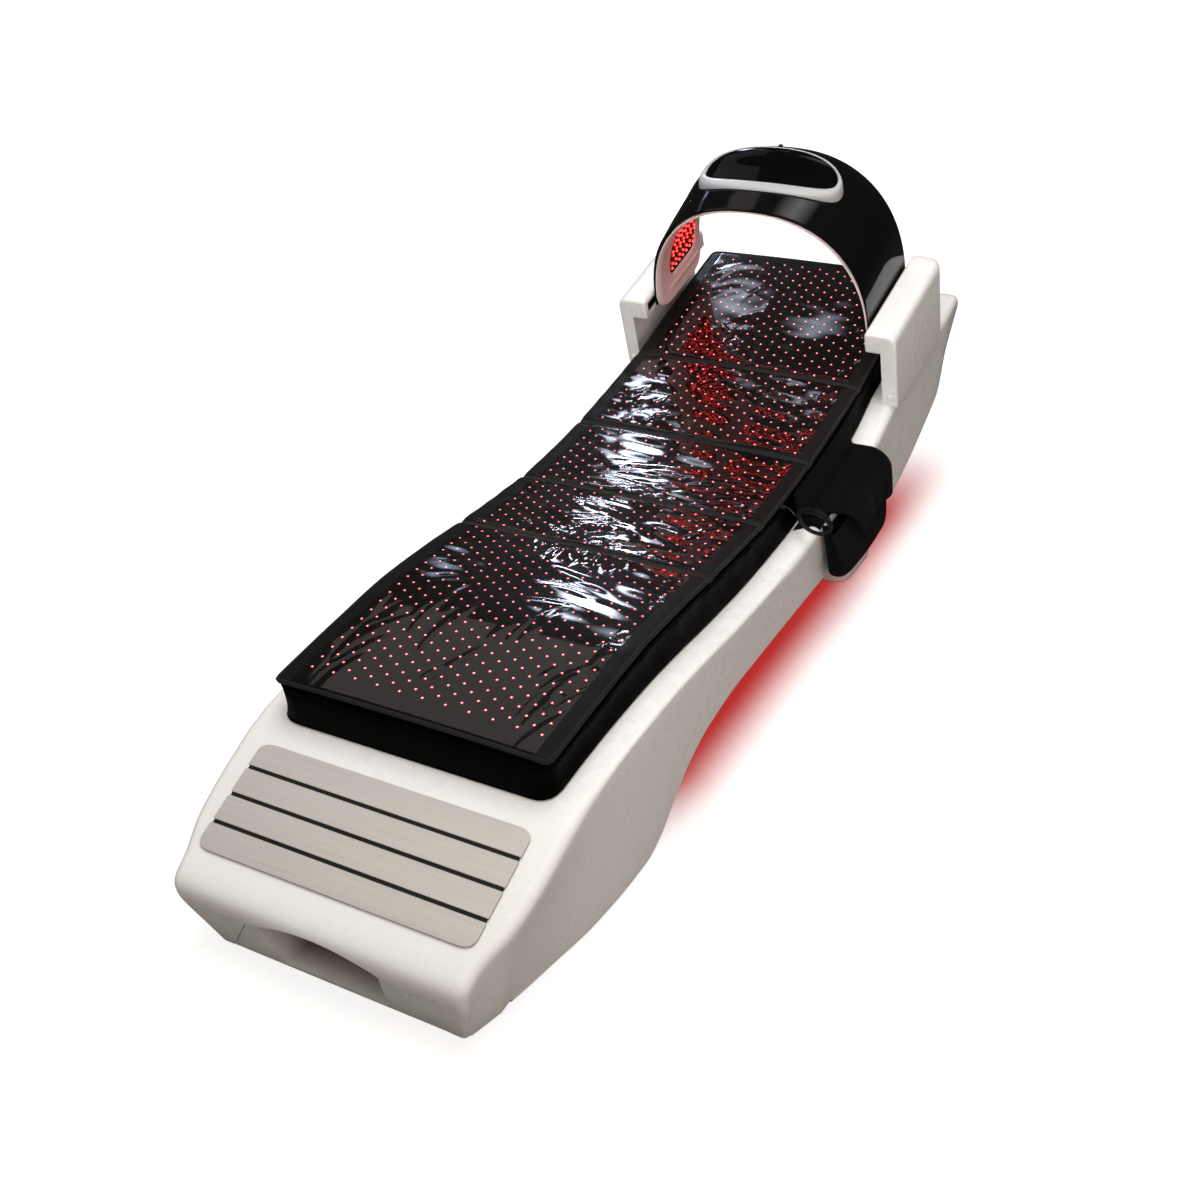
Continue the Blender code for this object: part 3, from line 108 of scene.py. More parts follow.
def bezier(a, b, c, d, count):
    """Points along a cubic Bezier, without its first one."""
    t = np.arange(1, count + 1)[:, None] / count
    return ((1 - t)**3 * np.array(a) + 3 * (1 - t)**2 * t * np.array(b)
            + 3 * (1 - t) * t**2 * np.array(c) + t**3 * np.array(d))


def smooth(low, high, x):
    """Smoothstep from 0 at low to 1 at high."""
    t = np.clip((x - low) / (high - low), 0.0, 1.0)
    return t * t * (3 - 2 * t)


def bell(x, middle, width):
    """Gaussian, 1 at its middle."""
    return np.exp(-((x - middle) / width)**2)


def bent(value, power):
    """Power that keeps the sign, for superellipses."""
    return np.sign(value) * np.abs(value)**power


def unit(vectors):
    return vectors / np.linalg.norm(vectors, axis=-1, keepdims=True)


def reaches(points):
    """Distance along a polyline up to each of its points."""
    return np.r_[0.0, np.cumsum(np.linalg.norm(np.diff(points, axis=0), axis=1))]


def full_turn(count):
    return np.arange(count) * 2 * math.pi / count


def on_bed(points):
    """Station coordinates to the frame: Y is the station plus ORIGIN."""
    return np.asarray(points, float) + (0.0, ORIGIN, 0.0)


def on_head(points):
    """Head-frame points (x, u, n) turned by the tilt about X and moved to the head's origin."""
    x, u, n = np.moveaxis(np.asarray(points, float), -1, 0)
    c, s = math.cos(HEAD_TILT), math.sin(HEAD_TILT)
    return np.stack([x, HEAD_AT[0] + u * c - n * s, HEAD_AT[1] + u * s + n * c], axis=-1)


def link(name, data):
    thing = bpy.data.objects.new(name, data)
    bpy.context.scene.collection.objects.link(thing)
    return thing


def mesh_of(name, points, polygons, corners=None):
    mesh = bpy.data.meshes.new(name)
    mesh.from_pydata(points.reshape(-1, 3).tolist(), [], polygons)
    if corners is not None:
        mesh.uv_layers.new(name="UVMap").data.foreach_set("uv", corners.ravel())
    return mesh


def loft(name, grid, around=False, loop=False, caps=False, face=None):
    """Skin over a grid of points. around joins the last column to the first, loop the last row to the
    first, and caps closes the end rows. UVs are metres along the surface. A closed skin is turned to
    have a positive volume, an open one to look along face."""
    rows, cols = grid.shape[:2]
    i, j = np.meshgrid(np.arange(rows if loop else rows - 1),
                       np.arange(cols if around else cols - 1), indexing="ij")
    n, m = (i + 1) % rows, (j + 1) % cols
    quads = np.stack([i * cols + j, i * cols + m, n * cols + m, n * cols + j], -1).reshape(-1, 4)
    wide = np.concatenate([grid, grid[:, :1]], 1)
    tall = np.concatenate([grid, grid[:1]], 0)
    u = np.r_[0, np.cumsum(np.linalg.norm(np.diff(wide, axis=1), axis=2).mean(0))]
    v = np.r_[0, np.cumsum(np.linalg.norm(np.diff(tall, axis=0), axis=2).mean(1))]
    corners = np.stack([np.stack([u[j + a], v[i + b]], -1) for a, b in ((0, 0), (1, 0), (1, 1), (0, 1))], 2)
    corners = corners.reshape(-1, 4, 2)
    points = grid.reshape(-1, 3)
    p = points[quads] - points.mean(0)
    cross = np.cross(p[:, 2] - p[:, 0], p[:, 3] - p[:, 1])
    side = (cross * np.array(face)).sum() if face is not None else (p.mean(1) * cross).sum()
    ends = [np.arange(cols)[::-1], (rows - 1) * cols + np.arange(cols)] if caps else []
    if side < 0:
        quads, corners, ends = quads[:, ::-1], corners[:, ::-1], [e[::-1] for e in ends]
    corners = np.concatenate([corners.reshape(-1, 2)] + [points[e][:, :2] for e in ends])
    return mesh_of(name, points, quads.tolist() + [e.tolist() for e in ends], corners)


def shade(mesh, sharp):
    """Smooth shading, with edges kept where faces meet at more than an angle."""
    mesh.shade_smooth()
    mesh.set_sharp_from_angle(angle=math.radians(sharp))


def piece(name, mesh, finish, body, stands_for, sharp=38):
    """Link a mesh as a piece of the bed or the dome."""
    thing = link(name, mesh)
    mesh.materials.append(finish)
    shade(mesh, sharp)
    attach(thing, body)
    if stands_for:
        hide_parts(*stands_for)
    return thing


def skinned(name, grid, finish, body, stands_for, slot, sharp=38, **joined):
    """Piece with a skin over a grid, closed round it and capped unless its joins are given."""
    mesh = loft(name, grid, **(joined or {"around": True, "caps": True}))
    return piece(name, mesh, finish, body, stands_for, sharp)


def carve(thing, cutter, sharp=38):
    """Cut a closed mesh out of a piece, after its modifiers, and keep the result as its own mesh."""
    tool = link("carving_tool", cutter)
    change = thing.modifiers.new("carving", "BOOLEAN")
    change.object, change.solver = tool, "EXACT"
    graph = bpy.context.evaluated_depsgraph_get()
    made = bpy.data.meshes.new_from_object(thing.evaluated_get(graph), depsgraph=graph)
    thing.modifiers.clear()
    thing.data = made
    shade(made, sharp)
    bpy.data.objects.remove(tool, do_unlink=True)


def prism(name, outline, ends, axis, place):
    """Closed outline carried straight along an axis from end to end, then set in its place."""
    return loft(name, place(np.stack([np.insert(outline, axis, end, axis=1) for end in ends])),
                around=True, caps=True)


def tube_rings(path, radius, sides):
    """Rings of a round tube on a closed path: circles on two directions square to it, level with Z."""
    ahead = unit(np.roll(path, -1, 0) - np.roll(path, 1, 0))
    across = unit(np.cross(ahead, (0.0, 0.0, 1.0)))
    up = np.cross(across, ahead)
    angle = full_turn(sides)[:, None]
    return path[:, None] + radius * (np.cos(angle) * across[:, None] + np.sin(angle) * up[:, None])


def turned(profile, place, sides=32):
    """Lathe form: (radius, height) points carried round an axis; place maps (a, b, height) to points."""
    radius, height = np.array(profile, float).T[..., None]
    angle = full_turn(sides)
    a, b = radius * np.cos(angle), radius * np.sin(angle)
    return place(a, b, np.broadcast_to(height, a.shape))


def rounded_corners(corners, radii, steps):
    """Round a closed polygon's corners with Bezier arcs; corners are (k, rows, 2), all rows at once."""
    arcs = []
    t = np.linspace(0.0, 1.0, steps)[:, None, None]
    for k, radius in enumerate(radii):
        here, before, after = corners[k], corners[k - 1], corners[(k + 1) % len(corners)]
        to_before, to_after = before - here, after - here
        back = np.linalg.norm(to_before, axis=-1, keepdims=True)
        on = np.linalg.norm(to_after, axis=-1, keepdims=True)
        a = here + to_before / back * np.minimum(radius, back * 0.45)
        b = here + to_after / on * np.minimum(radius, on * 0.45)
        arcs.append((1 - t)**2 * a + 2 * (1 - t) * t * here + t**2 * b)
    return np.concatenate(arcs)


def rounded_box(half, low, high, radii, steps):
    """Outline (n, 2) of a rectangle with its own corner radii, from the low right corner turning left."""
    corners = np.array([[[half, low]], [[half, high]], [[-half, high]], [[-half, low]]])
    return rounded_corners(corners, radii, steps)[:, 0]


# Finishes

def put(tree, socket, value):
    """Link another socket to this one, or set its colour or number."""
    if isinstance(value, bpy.types.NodeSocket):
        tree.links.new(value, socket)
    else:
        socket.default_value = (*value, 1.0) if isinstance(value, tuple) else value


def fill(tree, sockets, **values):
    for title, value in values.items():
        put(tree, sockets[title.replace("_", " ")], value)


def node(tree, kind, **values):
    made = tree.nodes.new(kind)
    fill(tree, made.inputs, **values)
    return made


def calc(tree, operation, *values):
    """Math node on sockets and numbers."""
    made = tree.nodes.new("ShaderNodeMath")
    made.operation = operation
    for socket, value in zip(made.inputs, values):
        put(tree, socket, value)
    return made.outputs[0]


def object_place(tree):
    return tree.nodes.new("ShaderNodeTexCoord").outputs["Object"]


def axes(tree, vector):
    return node(tree, "ShaderNodeSeparateXYZ", Vector=vector).outputs


def noise(tree, place, scale, detail, rough=0.5):
    made = node(tree, "ShaderNodeTexNoise", Vector=place, Scale=scale, Detail=detail, Roughness=rough)
    return made.outputs["Fac"]


def spread(tree, source, low, high, start=0.3, end=0.7):
    """Map a value from start and end to low and high."""
    made = node(tree, "ShaderNodeMapRange", Value=source, From_Min=start, From_Max=end, To_Min=low, To_Max=high)
    return made.outputs["Result"]


def blend_colour(tree, share, a, b):
    made = tree.nodes.new("ShaderNodeMix")
    made.data_type = "RGBA"
    for index, value in ((0, share), (6, a), (7, b)):
        put(tree, made.inputs[index], value)
    return made.outputs[2]


def group(name, inputs, outputs):
    """Empty shader node group with named inputs (name, kind, default) and outputs (name, kind)."""
    tree = bpy.data.node_groups.new(name, "ShaderNodeTree")
    for title, kind, value in inputs:
        socket = tree.interface.new_socket(name=title, in_out="INPUT", socket_type="NodeSocket" + kind)
        socket.default_value = value
    for title, kind in outputs:
        tree.interface.new_socket(name=title, in_out="OUTPUT", socket_type="NodeSocket" + kind)
    return tree, tree.nodes.new("NodeGroupInput").outputs, tree.nodes.new("NodeGroupOutput").inputs


def tone_group():
    """Slow cloud of two tones, a faster one for roughness, and a fine one for height."""
    tree, given, out = group("moulded_tone", [
        ("Tone", "Color", (0.8, 0.8, 0.8, 1)), ("Shade", "Color", (0.7, 0.7, 0.7, 1)), ("Cloud", "Float", 3.0),
        ("Grain", "Float", 400.0), ("Smooth", "Float", 0.2), ("Rough", "Float", 0.3)
    ], [("Color", "Color"), ("Roughness", "Float"), ("Height", "Float")])
    place = object_place(tree)
    cloud, patch, grain = [
        noise(tree, place, calc(tree, "MULTIPLY", given[title], factor), detail, 0.55)
        for title, factor, detail in (("Cloud", 1.0, 4.0), ("Cloud", 7.0, 3.0), ("Grain", 1.0, 2.0))]
    fill(tree, out, Color=blend_colour(tree, spread(tree, cloud, 0.0, 1.0), given["Tone"], given["Shade"]),
         Roughness=spread(tree, patch, given["Smooth"], given["Rough"]), Height=grain)
    return tree


def pebble_group():
    """Pebbled hide: distance to the nearest random cell, softened, and a slow noise as a mask."""
    tree, given, out = group("pebbled_hide", [("Cells", "Float", 600.0)], [("Height", "Float"), ("Mask", "Float")])
    place = object_place(tree)
    cells = node(tree, "ShaderNodeTexVoronoi", Vector=place, Scale=given["Cells"], Randomness=0.9)
    cells.feature = "SMOOTH_F1"
    fill(tree, out, Height=cells.outputs["Distance"], Mask=noise(tree, place, 9.0, 3.0))
    return tree


def streak_group():
    """Grain drawn out along X: noise on coordinates squeezed along X and spread across."""
    tree, given, out = group("drawn_grain", [("Fine", "Float", 900.0), ("Long", "Float", 6.0)],
                             [("Streak", "Float"), ("Cloud", "Float")])
    place = object_place(tree)
    parts = axes(tree, place)
    scaled = {axis: calc(tree, "MULTIPLY", parts[axis], given[factor])
              for axis, factor in (("X", "Long"), ("Y", "Fine"), ("Z", "Fine"))}
    drawn = node(tree, "ShaderNodeCombineXYZ", **scaled).outputs[0]
    fill(tree, out, Streak=noise(tree, drawn, 1.0, 3.0, 0.7), Cloud=noise(tree, place, 9.0, 2.0))
    return tree


def speck_group():
    """Sparse specks: random cells whose own random value is high and whose middle is near."""
    tree, given, out = group("dust_and_painted_glint_specks", [("Cells", "Float", 60.0), ("Size", "Float", 0.1),
                                             ("Rare", "Float", 0.9)], [("Mask", "Float")])
    cells = node(tree, "ShaderNodeTexVoronoi", Vector=object_place(tree), Scale=given["Cells"]).outputs
    near = calc(tree, "LESS_THAN", cells["Distance"], given["Size"])
    pick = node(tree, "ShaderNodeSeparateColor", Color=cells["Color"]).outputs[0]
    rare = calc(tree, "GREATER_THAN", pick, given["Rare"])
    fill(tree, out, Mask=calc(tree, "MULTIPLY", near, rare))
    return tree


TONE, HIDE, STREAK, SPECK = tone_group(), pebble_group(), streak_group(), speck_group()


def use(tree, made, **values):
    placed = tree.nodes.new("ShaderNodeGroup")
    placed.node_tree = made
    fill(tree, placed.inputs, **values)
    return placed.outputs


def start(name, **values):
    """New material, its nodes and its Principled shader's sockets, with the plain ones set."""
    material = bpy.data.materials.new(name)
    material.use_nodes = True
    tree = material.node_tree
    shader = tree.nodes["Principled BSDF"].inputs
    fill(tree, shader, **values)
    return material, tree, shader


def bump(tree, shader, height, strength, depth):
    made = node(tree, "ShaderNodeBump", Height=height, Strength=strength, Distance=depth)
    fill(tree, shader, Normal=made.outputs["Normal"])


def toned(name, tone, shade_tone, cloud, grain, rough, height, **values):
    """Finish with the moulded-tone group on colour, roughness and height."""
    material, tree, shader = start(name, **values)
    out = use(tree, TONE, Tone=tone, Shade=shade_tone, Cloud=cloud, Grain=grain, Smooth=rough[0], Rough=rough[1])
    fill(tree, shader, Base_Color=out["Color"], Roughness=out["Roughness"])
    if height:
        bump(tree, shader, out["Height"], 0.35, height)
    return material


def hide(name, tone, cells, rough, depth, **values):
    """Soft cover with the pebbled-hide group on height and a slow change of tone and roughness."""
    material, tree, shader = start(name, **values)
    out = use(tree, HIDE, Cells=cells)
    fill(tree, shader, Base_Color=blend_colour(tree, out["Mask"], tone, tuple(c * 1.7 for c in tone)),
         Roughness=spread(tree, out["Mask"], *rough))
    bump(tree, shader, out["Height"], 0.5, depth)
    return material


def margin_tone(material, tone, low, high, axis="X"):
    """Other tone past a distance from the middle line, or past a depth, over the finish's own colour."""
    tree = material.node_tree
    shader = tree.nodes["Principled BSDF"].inputs
    away = axes(tree, object_place(tree))[axis]
    if axis == "X":
        away = calc(tree, "ABSOLUTE", away)
    under = shader["Base Color"].links[0].from_socket
    fill(tree, shader, Base_Color=blend_colour(tree, spread(tree, away, 0.0, 1.0, low, high), under, tone))


def brushed(name, tone, shade_tone, rough, metallic):
    """Brushed metal: the drawn grain on tone, roughness and height."""
    material, tree, shader = start(name, Metallic=metallic)
    out = use(tree, STREAK, Fine=900.0, Long=5.0)
    fill(tree, shader, Base_Color=blend_colour(tree, spread(tree, out["Streak"], 0.0, 1.0), tone, shade_tone),
         Roughness=spread(tree, out["Cloud"], *rough))
    bump(tree, shader, out["Streak"], 0.25, 0.0001)
    return material


def gloss_with_dust_and_painted_glints(name, tone, rough, cells, rare, level):
    """Deep gloss with sparse pale specks, partly dust and partly painted glints."""
    material, tree, shader = start(name, Roughness=rough, Specular_IOR_Level=level)
    out = use(tree, SPECK, Cells=cells, Size=0.09, Rare=rare)
    # Pale specks in the base colour: partly dust, partly painted glints.
    fill(tree, shader, Base_Color=blend_colour(tree, out["Mask"], tone, (0.42, 0.40, 0.36)))
    return material


def lamp_finish(name, rim, core, strength):
    """Light source: the core attribute blends the rim's colour into a hot middle."""
    material, tree, shader = start(name, Base_Color=(0.10, 0.005, 0.005), Roughness=0.3, Emission_Strength=strength)
    share = tree.nodes.new("ShaderNodeAttribute")
    share.attribute_name = "core"
    fill(tree, shader, Emission_Color=blend_colour(tree, share.outputs["Fac"], rim, core))
    return material


def film_finish():
    """Clear film: a sheet too thin to bend the light behind it, so the mirror sheen is a coat over a
    clear base; the base turns a little hazy in places."""
    material, tree, shader = start("clear_film", Base_Color=(0.97, 0.97, 0.98), IOR=1.02, Transmission_Weight=1.0,
                                   Coat_Weight=1.0, Coat_IOR=1.62, Coat_Roughness=0.035)
    haze = noise(tree, object_place(tree), 14.0, 4.0, 0.6)
    fill(tree, shader, Roughness=spread(tree, haze, 0.0, 0.04))
    return material


WHITE = (0.835, 0.83, 0.818), (0.826, 0.819, 0.804), 1.4, 700.0, (0.26, 0.29), 0.0
SHELL = toned("shell_white", *WHITE, Coat_Weight=0.2)
SHADED_PANEL = toned("panel_white_painted_shade", *WHITE, Coat_Weight=0.2)
# Painted shade: past a depth the panel turns a dark warm grey over the back of its recessed niche.
margin_tone(SHADED_PANEL, (0.34, 0.285, 0.25), -1.674, -1.622, "Y")
SLAT = brushed("brushed_slat", (0.645, 0.605, 0.57), (0.53, 0.495, 0.465), (0.44, 0.56), 0.15)
ALUMINIUM = brushed("slide_metal", (0.60, 0.61, 0.63), (0.45, 0.46, 0.48), (0.28, 0.38), 1.0)
STEEL_PLATE = toned("plated_steel", (0.55, 0.56, 0.57), (0.42, 0.43, 0.45), 14.0, 300.0, (0.3, 0.5), 0.0001,
                    Metallic=0.9)
PAINT = toned("frame_paint", (0.055, 0.056, 0.06), (0.04, 0.04, 0.044), 9.0, 900.0, (0.4, 0.6), 0.0002)
BLACK = toned("matt_black", (0.012, 0.012, 0.013), (0.018, 0.018, 0.019), 8.0, 900.0, (0.45, 0.6), 0.0001)
COVER = hide("cushion_cover", (0.0008, 0.0008, 0.0009), 520.0, (0.5, 0.62), 0.0002, Specular_IOR_Level=0.02)
VINYL = hide("mat_vinyl", (0.0018, 0.0017, 0.0018), 900.0, (0.34, 0.46), 0.00015, Specular_IOR_Level=0.12)
margin_tone(VINYL, (0.0085, 0.0083, 0.0082), 0.246, 0.251)
TAPE = hide("seam_tape", (0.009, 0.009, 0.009), 1500.0, (0.6, 0.75), 0.0002, Sheen_Weight=0.05,
            Specular_IOR_Level=0.2)
FELT = hide("felt", (0.0014, 0.0014, 0.0018), 1900.0, (0.92, 1.0), 0.0006, Sheen_Weight=0.02, Sheen_Roughness=0.6,
            Specular_IOR_Level=0.05)
GLOSS = gloss_with_dust_and_painted_glints("gloss_black", (0.0035, 0.0035, 0.004), 0.055, 46.0, 0.965, 0.42)
GLASS = gloss_with_dust_and_painted_glints("console_glass", (0.0022, 0.0022, 0.003), 0.03, 60.0, 0.985, 0.22)
BEZEL = toned("silver_bezel", (0.74, 0.745, 0.75), (0.70, 0.705, 0.71), 12.0, 1200.0, (0.40, 0.45), 0.0,
              Metallic=0.5)
PALE = toned("liner_pale", (0.86, 0.70, 0.70), (0.82, 0.63, 0.635), 6.0, 600.0, (0.35, 0.45), 0.00006)
RUBBER = toned("cable_rubber", (0.008, 0.008, 0.008), (0.013, 0.013, 0.013), 40.0, 900.0, (0.16, 0.28), 0.00005)
GLIDE_RUBBER = toned("glide_rubber", (0.02, 0.02, 0.02), (0.03, 0.03, 0.03), 30.0, 900.0, (0.7, 0.85), 0.0002)
FILM = film_finish()
MAT_LED = lamp_finish("mat_led", (0.46, 0.002, 0.010), (1.0, 0.80, 0.80), 3.2)
BULB = lamp_finish("dome_bulb", (0.040, 0.0006, 0.0006), (1.0, 0.045, 0.035), 13.0)
GLOW = lamp_finish("glow_strip", (1.0, 0.02, 0.02), (1.0, 0.10, 0.08), 4.0)


# Camera at the photograph's place

def make_camera():
    camera = link("camera", bpy.data.cameras.new("camera"))
    right, up, ahead = ((0.87503737, 0.48182814, -0.04638151), (-0.21559493, 0.47373215, 0.85387158),
                        (-0.43339176, 0.73716992, -0.51841304))
    turn = Matrix((right, up, tuple(-a for a in ahead))).transposed().to_4x4()
    camera.matrix_world = Matrix.Translation((1.310, -2.974, 1.813)) @ turn
    camera.data.lens, camera.data.sensor_width = 44.016, 36.0
    camera.data.clip_start, camera.data.clip_end = 0.05, 100.0
    bpy.context.scene.camera = camera


make_camera()

# Lines that several pieces share
DECK_LINE = [(0.30, 0.303), (0.49, 0.318), (0.60, 0.320), (0.72, 0.315), (0.88, 0.303), (1.05, 0.297),
             (1.20, 0.301), (1.40, 0.321), (1.63, 0.366), (1.76, 0.418), (1.95, 0.462), (2.12, 0.498),
             (REAR_TOP, 0.514)]
plate_tan = math.tan(PLATE_SLOPE)
deck_wave = line_through([(PLATE_END, PLATE_Z + plate_tan * PLATE_END)] + DECK_LINE)
tray_low = line_through([(0.10, GLIDE), (0.32, GLIDE), (0.50, GLIDE), (0.56, 0.024), (0.62, 0.068), (0.68, 0.105),
                         (0.77, 0.135), (0.92, TRAY_FLAT), (1.30, TRAY_FLAT), (1.78, TRAY_FLAT), (1.90, 0.180),
                         (2.00, 0.222), (2.10, 0.270), (2.19, 0.316), (2.258, 0.354)])
mat_line = line_through([(0.262, 0.384), (0.45, 0.402), (0.62, 0.414), (0.75, 0.411), (0.869, 0.404),
                         (1.00, 0.397), (1.113, 0.396), (1.24, 0.403), (1.369, 0.420), (1.52, 0.446),
                         (1.661, 0.478), (1.80, 0.517), (1.95, 0.559), (2.096, 0.599)])
rim_half = line_through([(0.0, 0.300), (0.06, 0.323), (0.15, 0.333), (0.26, RIM_HALF), (1.30, RIM_HALF),
                         (1.72, HEAD_HALF), (2.12, HEAD_HALF), (REAR_TOP, 0.336)])
foot_half = line_through([(0.0, FRONT_HALF), (0.10, 0.283), (0.20, 0.301), (0.32, 0.320), (0.45, 0.327),
                          (1.0, 0.327), (1.8, 0.331), (2.1, 0.331), (REAR_END, 0.300)])


def deck(s):
    """Top of the moulding: the footrest plane, then the wave."""
    s = np.asarray(s, float)
    return np.where(s < PLATE_END, PLATE_Z + plate_tan * s, deck_wave(np.maximum(s, PLATE_END)))


def deck_rows():
    return np.r_[0.05, TRAY_START, 0.16, PLATE_END, 0.254, 0.258, np.linspace(0.32, 2.04, 25), 2.10, 2.104, 2.15,
                 REAR_TOP]


def deck_face(s):
    """Top of the moulding between the solid's own rows."""
    return np.interp(s, deck_rows(), deck(deck_rows()))


def tray_normal(s):
    """Upward normal of the tray's line, from its slope."""
    slope = (tray_low(s + 1e-3) - tray_low(s - 1e-3)) / 2e-3
    size = np.sqrt(1 + slope**2)
    return -slope / size, 1 / size


def wall_edge(s):
    """Lower edge of the side wall: on the floor gap in front, then on top of the tray."""
    along, up = tray_normal(np.maximum(s, TRAY_START))
    lift = (TRAY_THICK + GAP) * np.clip((s - WALL_FOOT) / (TRAY_START - WALL_FOOT), 0.0, 1.0)
    return np.stack([s + along * lift, tray_low(np.maximum(s, TRAY_START)) + up * lift], -1)


# Cable first: it leaves the mat, lies in loops on the pouch's corner and runs down to the controller

def route(points, count):
    """Even points on monotone cubics through a route's own points, by distance along it."""
    points = np.array(points, float)
    reach = reaches(points)
    at = np.linspace(0.0, reach[-1], count)
    return np.stack([line_through(np.c_[reach, axis])(at) for axis in points.T], axis=1)


def cable_coil():
    """Two layers of loops that spiral in, climb and spiral out, tilted on the rim."""
    pitch, loops, per_loop, station = 2 * CABLE_R + 0.0012, 3.25, 24, 1.268
    turn = np.arange(int(loops * per_loop) + 1) / per_loop
    climb = smooth(0.0, 1.0, (turn - loops / 2) * 2 + 0.5)
    radius = 0.040 - pitch * (loops / 2 - np.abs(turn - loops / 2)) + 0.5 * pitch * climb
    angle = math.pi - 2 * math.pi * turn
    flat = np.stack([radius * np.cos(angle), radius * np.sin(angle), 1.1 * pitch * climb], axis=1)
    tilt = np.array(Matrix.Rotation(math.radians(22.0), 3, "Y"))
    return on_bed(flat @ tilt.T + (RIM_HALF - 0.0015, station, deck_face(station) + 0.0275))


def cable_points():
    """The coil with a Bezier lead before it and a routed tail after it, spread evenly and then eased
    by a Gaussian mean along the cable that fades out at both ends."""
    coil = cable_coil()
    relief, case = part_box("mat_strain_relief"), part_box("mat_controller")
    first = np.array((relief[1].x + 2 * GAP, RELIEF_STATION + ORIGIN, (relief[0].z + relief[1].z) / 2))
    into, away = unit(coil[0] - coil[1]), unit(coil[-1] - coil[-2])
    entry, last = coil[0] + into * GAP, coil[-1] + away * GAP
    lead = np.r_[first[None], bezier(first, first + (0.022, 0, -0.003), entry + into * 0.028, entry, 14)]
    inside = RIM_HALF + 0.0105
    plug = np.array((inside + 0.010, (case[0].y + case[1].y) / 2, case[1].z + GAP))
    down = [(inside, s + ORIGIN, float(deck_face(s)) + lift)
            for s, lift in ((1.322, 0.0115), (1.334, -0.0137), (1.352, -0.0434))]
    tail = route([last, last + away * 0.006, *down, plug + (0, -0.012, 0.020), plug + (0, 0, 0.010), plug], 24)
    points = np.r_[lead[:-1], coil, tail[1:]]
    points = between(len(points), 4 * len(points)) @ points
    reach = reaches(points)
    at = np.linspace(0.0, reach[-1], 640)
    points = np.stack([np.interp(at, reach, axis) for axis in points.T], axis=1)
    ease = 0.0075 * smooth(0.0, 0.020, at) * smooth(at[-1], at[-1] - 0.020, at) + 1e-5
    share = bell(at[:, None], at, ease[:, None])
    return share @ points / share.sum(1)[:, None]


def make_cable():
    points = cable_points()
    curve = bpy.data.curves.new("mat_cable", "CURVE")
    curve.dimensions, curve.bevel_depth, curve.bevel_resolution, curve.use_fill_caps = "3D", CABLE_R, 3, True
    spline = curve.splines.new("POLY")
    spline.points.add(len(points) - 1)
    spline.points.foreach_set("co", np.c_[points, np.ones(len(points))].ravel())
    curve.materials.append(RUBBER)
    cable = link("mat_cable", curve)
    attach(cable, "bed")
    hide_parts("mat_cable_lead", "mat_cable_coil", "mat_cable_tail")


make_cable()


# Moulded base

def shell_rows():
    """Rows of the moulding from front to rear: profile, half width, shoulder radius and the station of the
    wall's lower edge. The front leans out, rolls over the nose by a Bezier and runs up the footrest plane
    into the wave; the rear rolls down by a Bezier. The half width is a Gaussian mean round the nose."""
    foot, brow = np.array((0.0, GLIDE)), np.array((-0.040, 0.118))
    begin, pull = np.array((0.004, float(deck(0.004)))), 0.045
    along = np.array((math.cos(PLATE_SLOPE), math.sin(PLATE_SLOPE)))
    front = foot + (brow - foot) * np.linspace(0.0, 1.0, 12)[:, None]
    nose = bezier(brow, brow + unit(brow - foot) * pull, begin - along * pull, begin, 28)
    stage = np.r_[np.linspace(0.0, 2.0, 12), 2 + 7 * np.arange(1, 29) / 28]
    s = np.r_[np.linspace(0.012, 0.30, 30), np.linspace(0.315, REAR_TOP, 126)]
    top, end = np.array((REAR_TOP, float(deck(REAR_TOP)))), wall_edge(np.array(REAR_LIP))
    tail = bezier(top, top + (0.060, 0.012), end + (0.040, 0.070), end, 26)
    share = np.arange(1, 27) / 26
    path = np.r_[front, nose, np.c_[s, deck(s)], tail]
    nose_half = line_through([(0, FRONT_HALF), (1, 0.2755), (2, 0.294), (3, 0.2963), (9, 0.300)])
    half = np.r_[nose_half(stage), rim_half(s), 0.336 - 0.038 * share**2]
    reach = reaches(path)
    soft = bell(reach[:, None], reach, 0.030) * np.gradient(reach)
    near_nose = smooth(0.06, 0.11, reach) * smooth(0.42, 0.34, reach)
    half = half + near_nose * (soft @ half / soft.sum(1) - half)
    crisp = 0.010 * smooth(0.22, 0.42, s) * smooth(1.15, 1.06, s)
    radius = np.r_[np.interp(stage, (0, 3), (0.010, SHOULDER)), SHOULDER - crisp, np.full(len(tail), SHOULDER)]
    low = np.r_[0.010 + 0.06 * stage / 9, np.maximum(s, WALL_FOOT),
                REAR_TOP + (REAR_LIP - SHOULDER - REAR_TOP) * share]
    return path, half, radius, low


def opening_outline():
    """Front opening: straight leaning sides under a low parabolic arch."""
    foot, brow, foot_x, brow_x = -0.01, 0.120, 0.230, 0.145
    low_x = foot_x - (foot_x - brow_x) / brow * foot
    share = np.linspace(1.0, -1.0, 31)
    return np.r_[[(-low_x, foot), (low_x, foot)], np.c_[brow_x * share, brow + 0.030 * (1 - share**2)]]


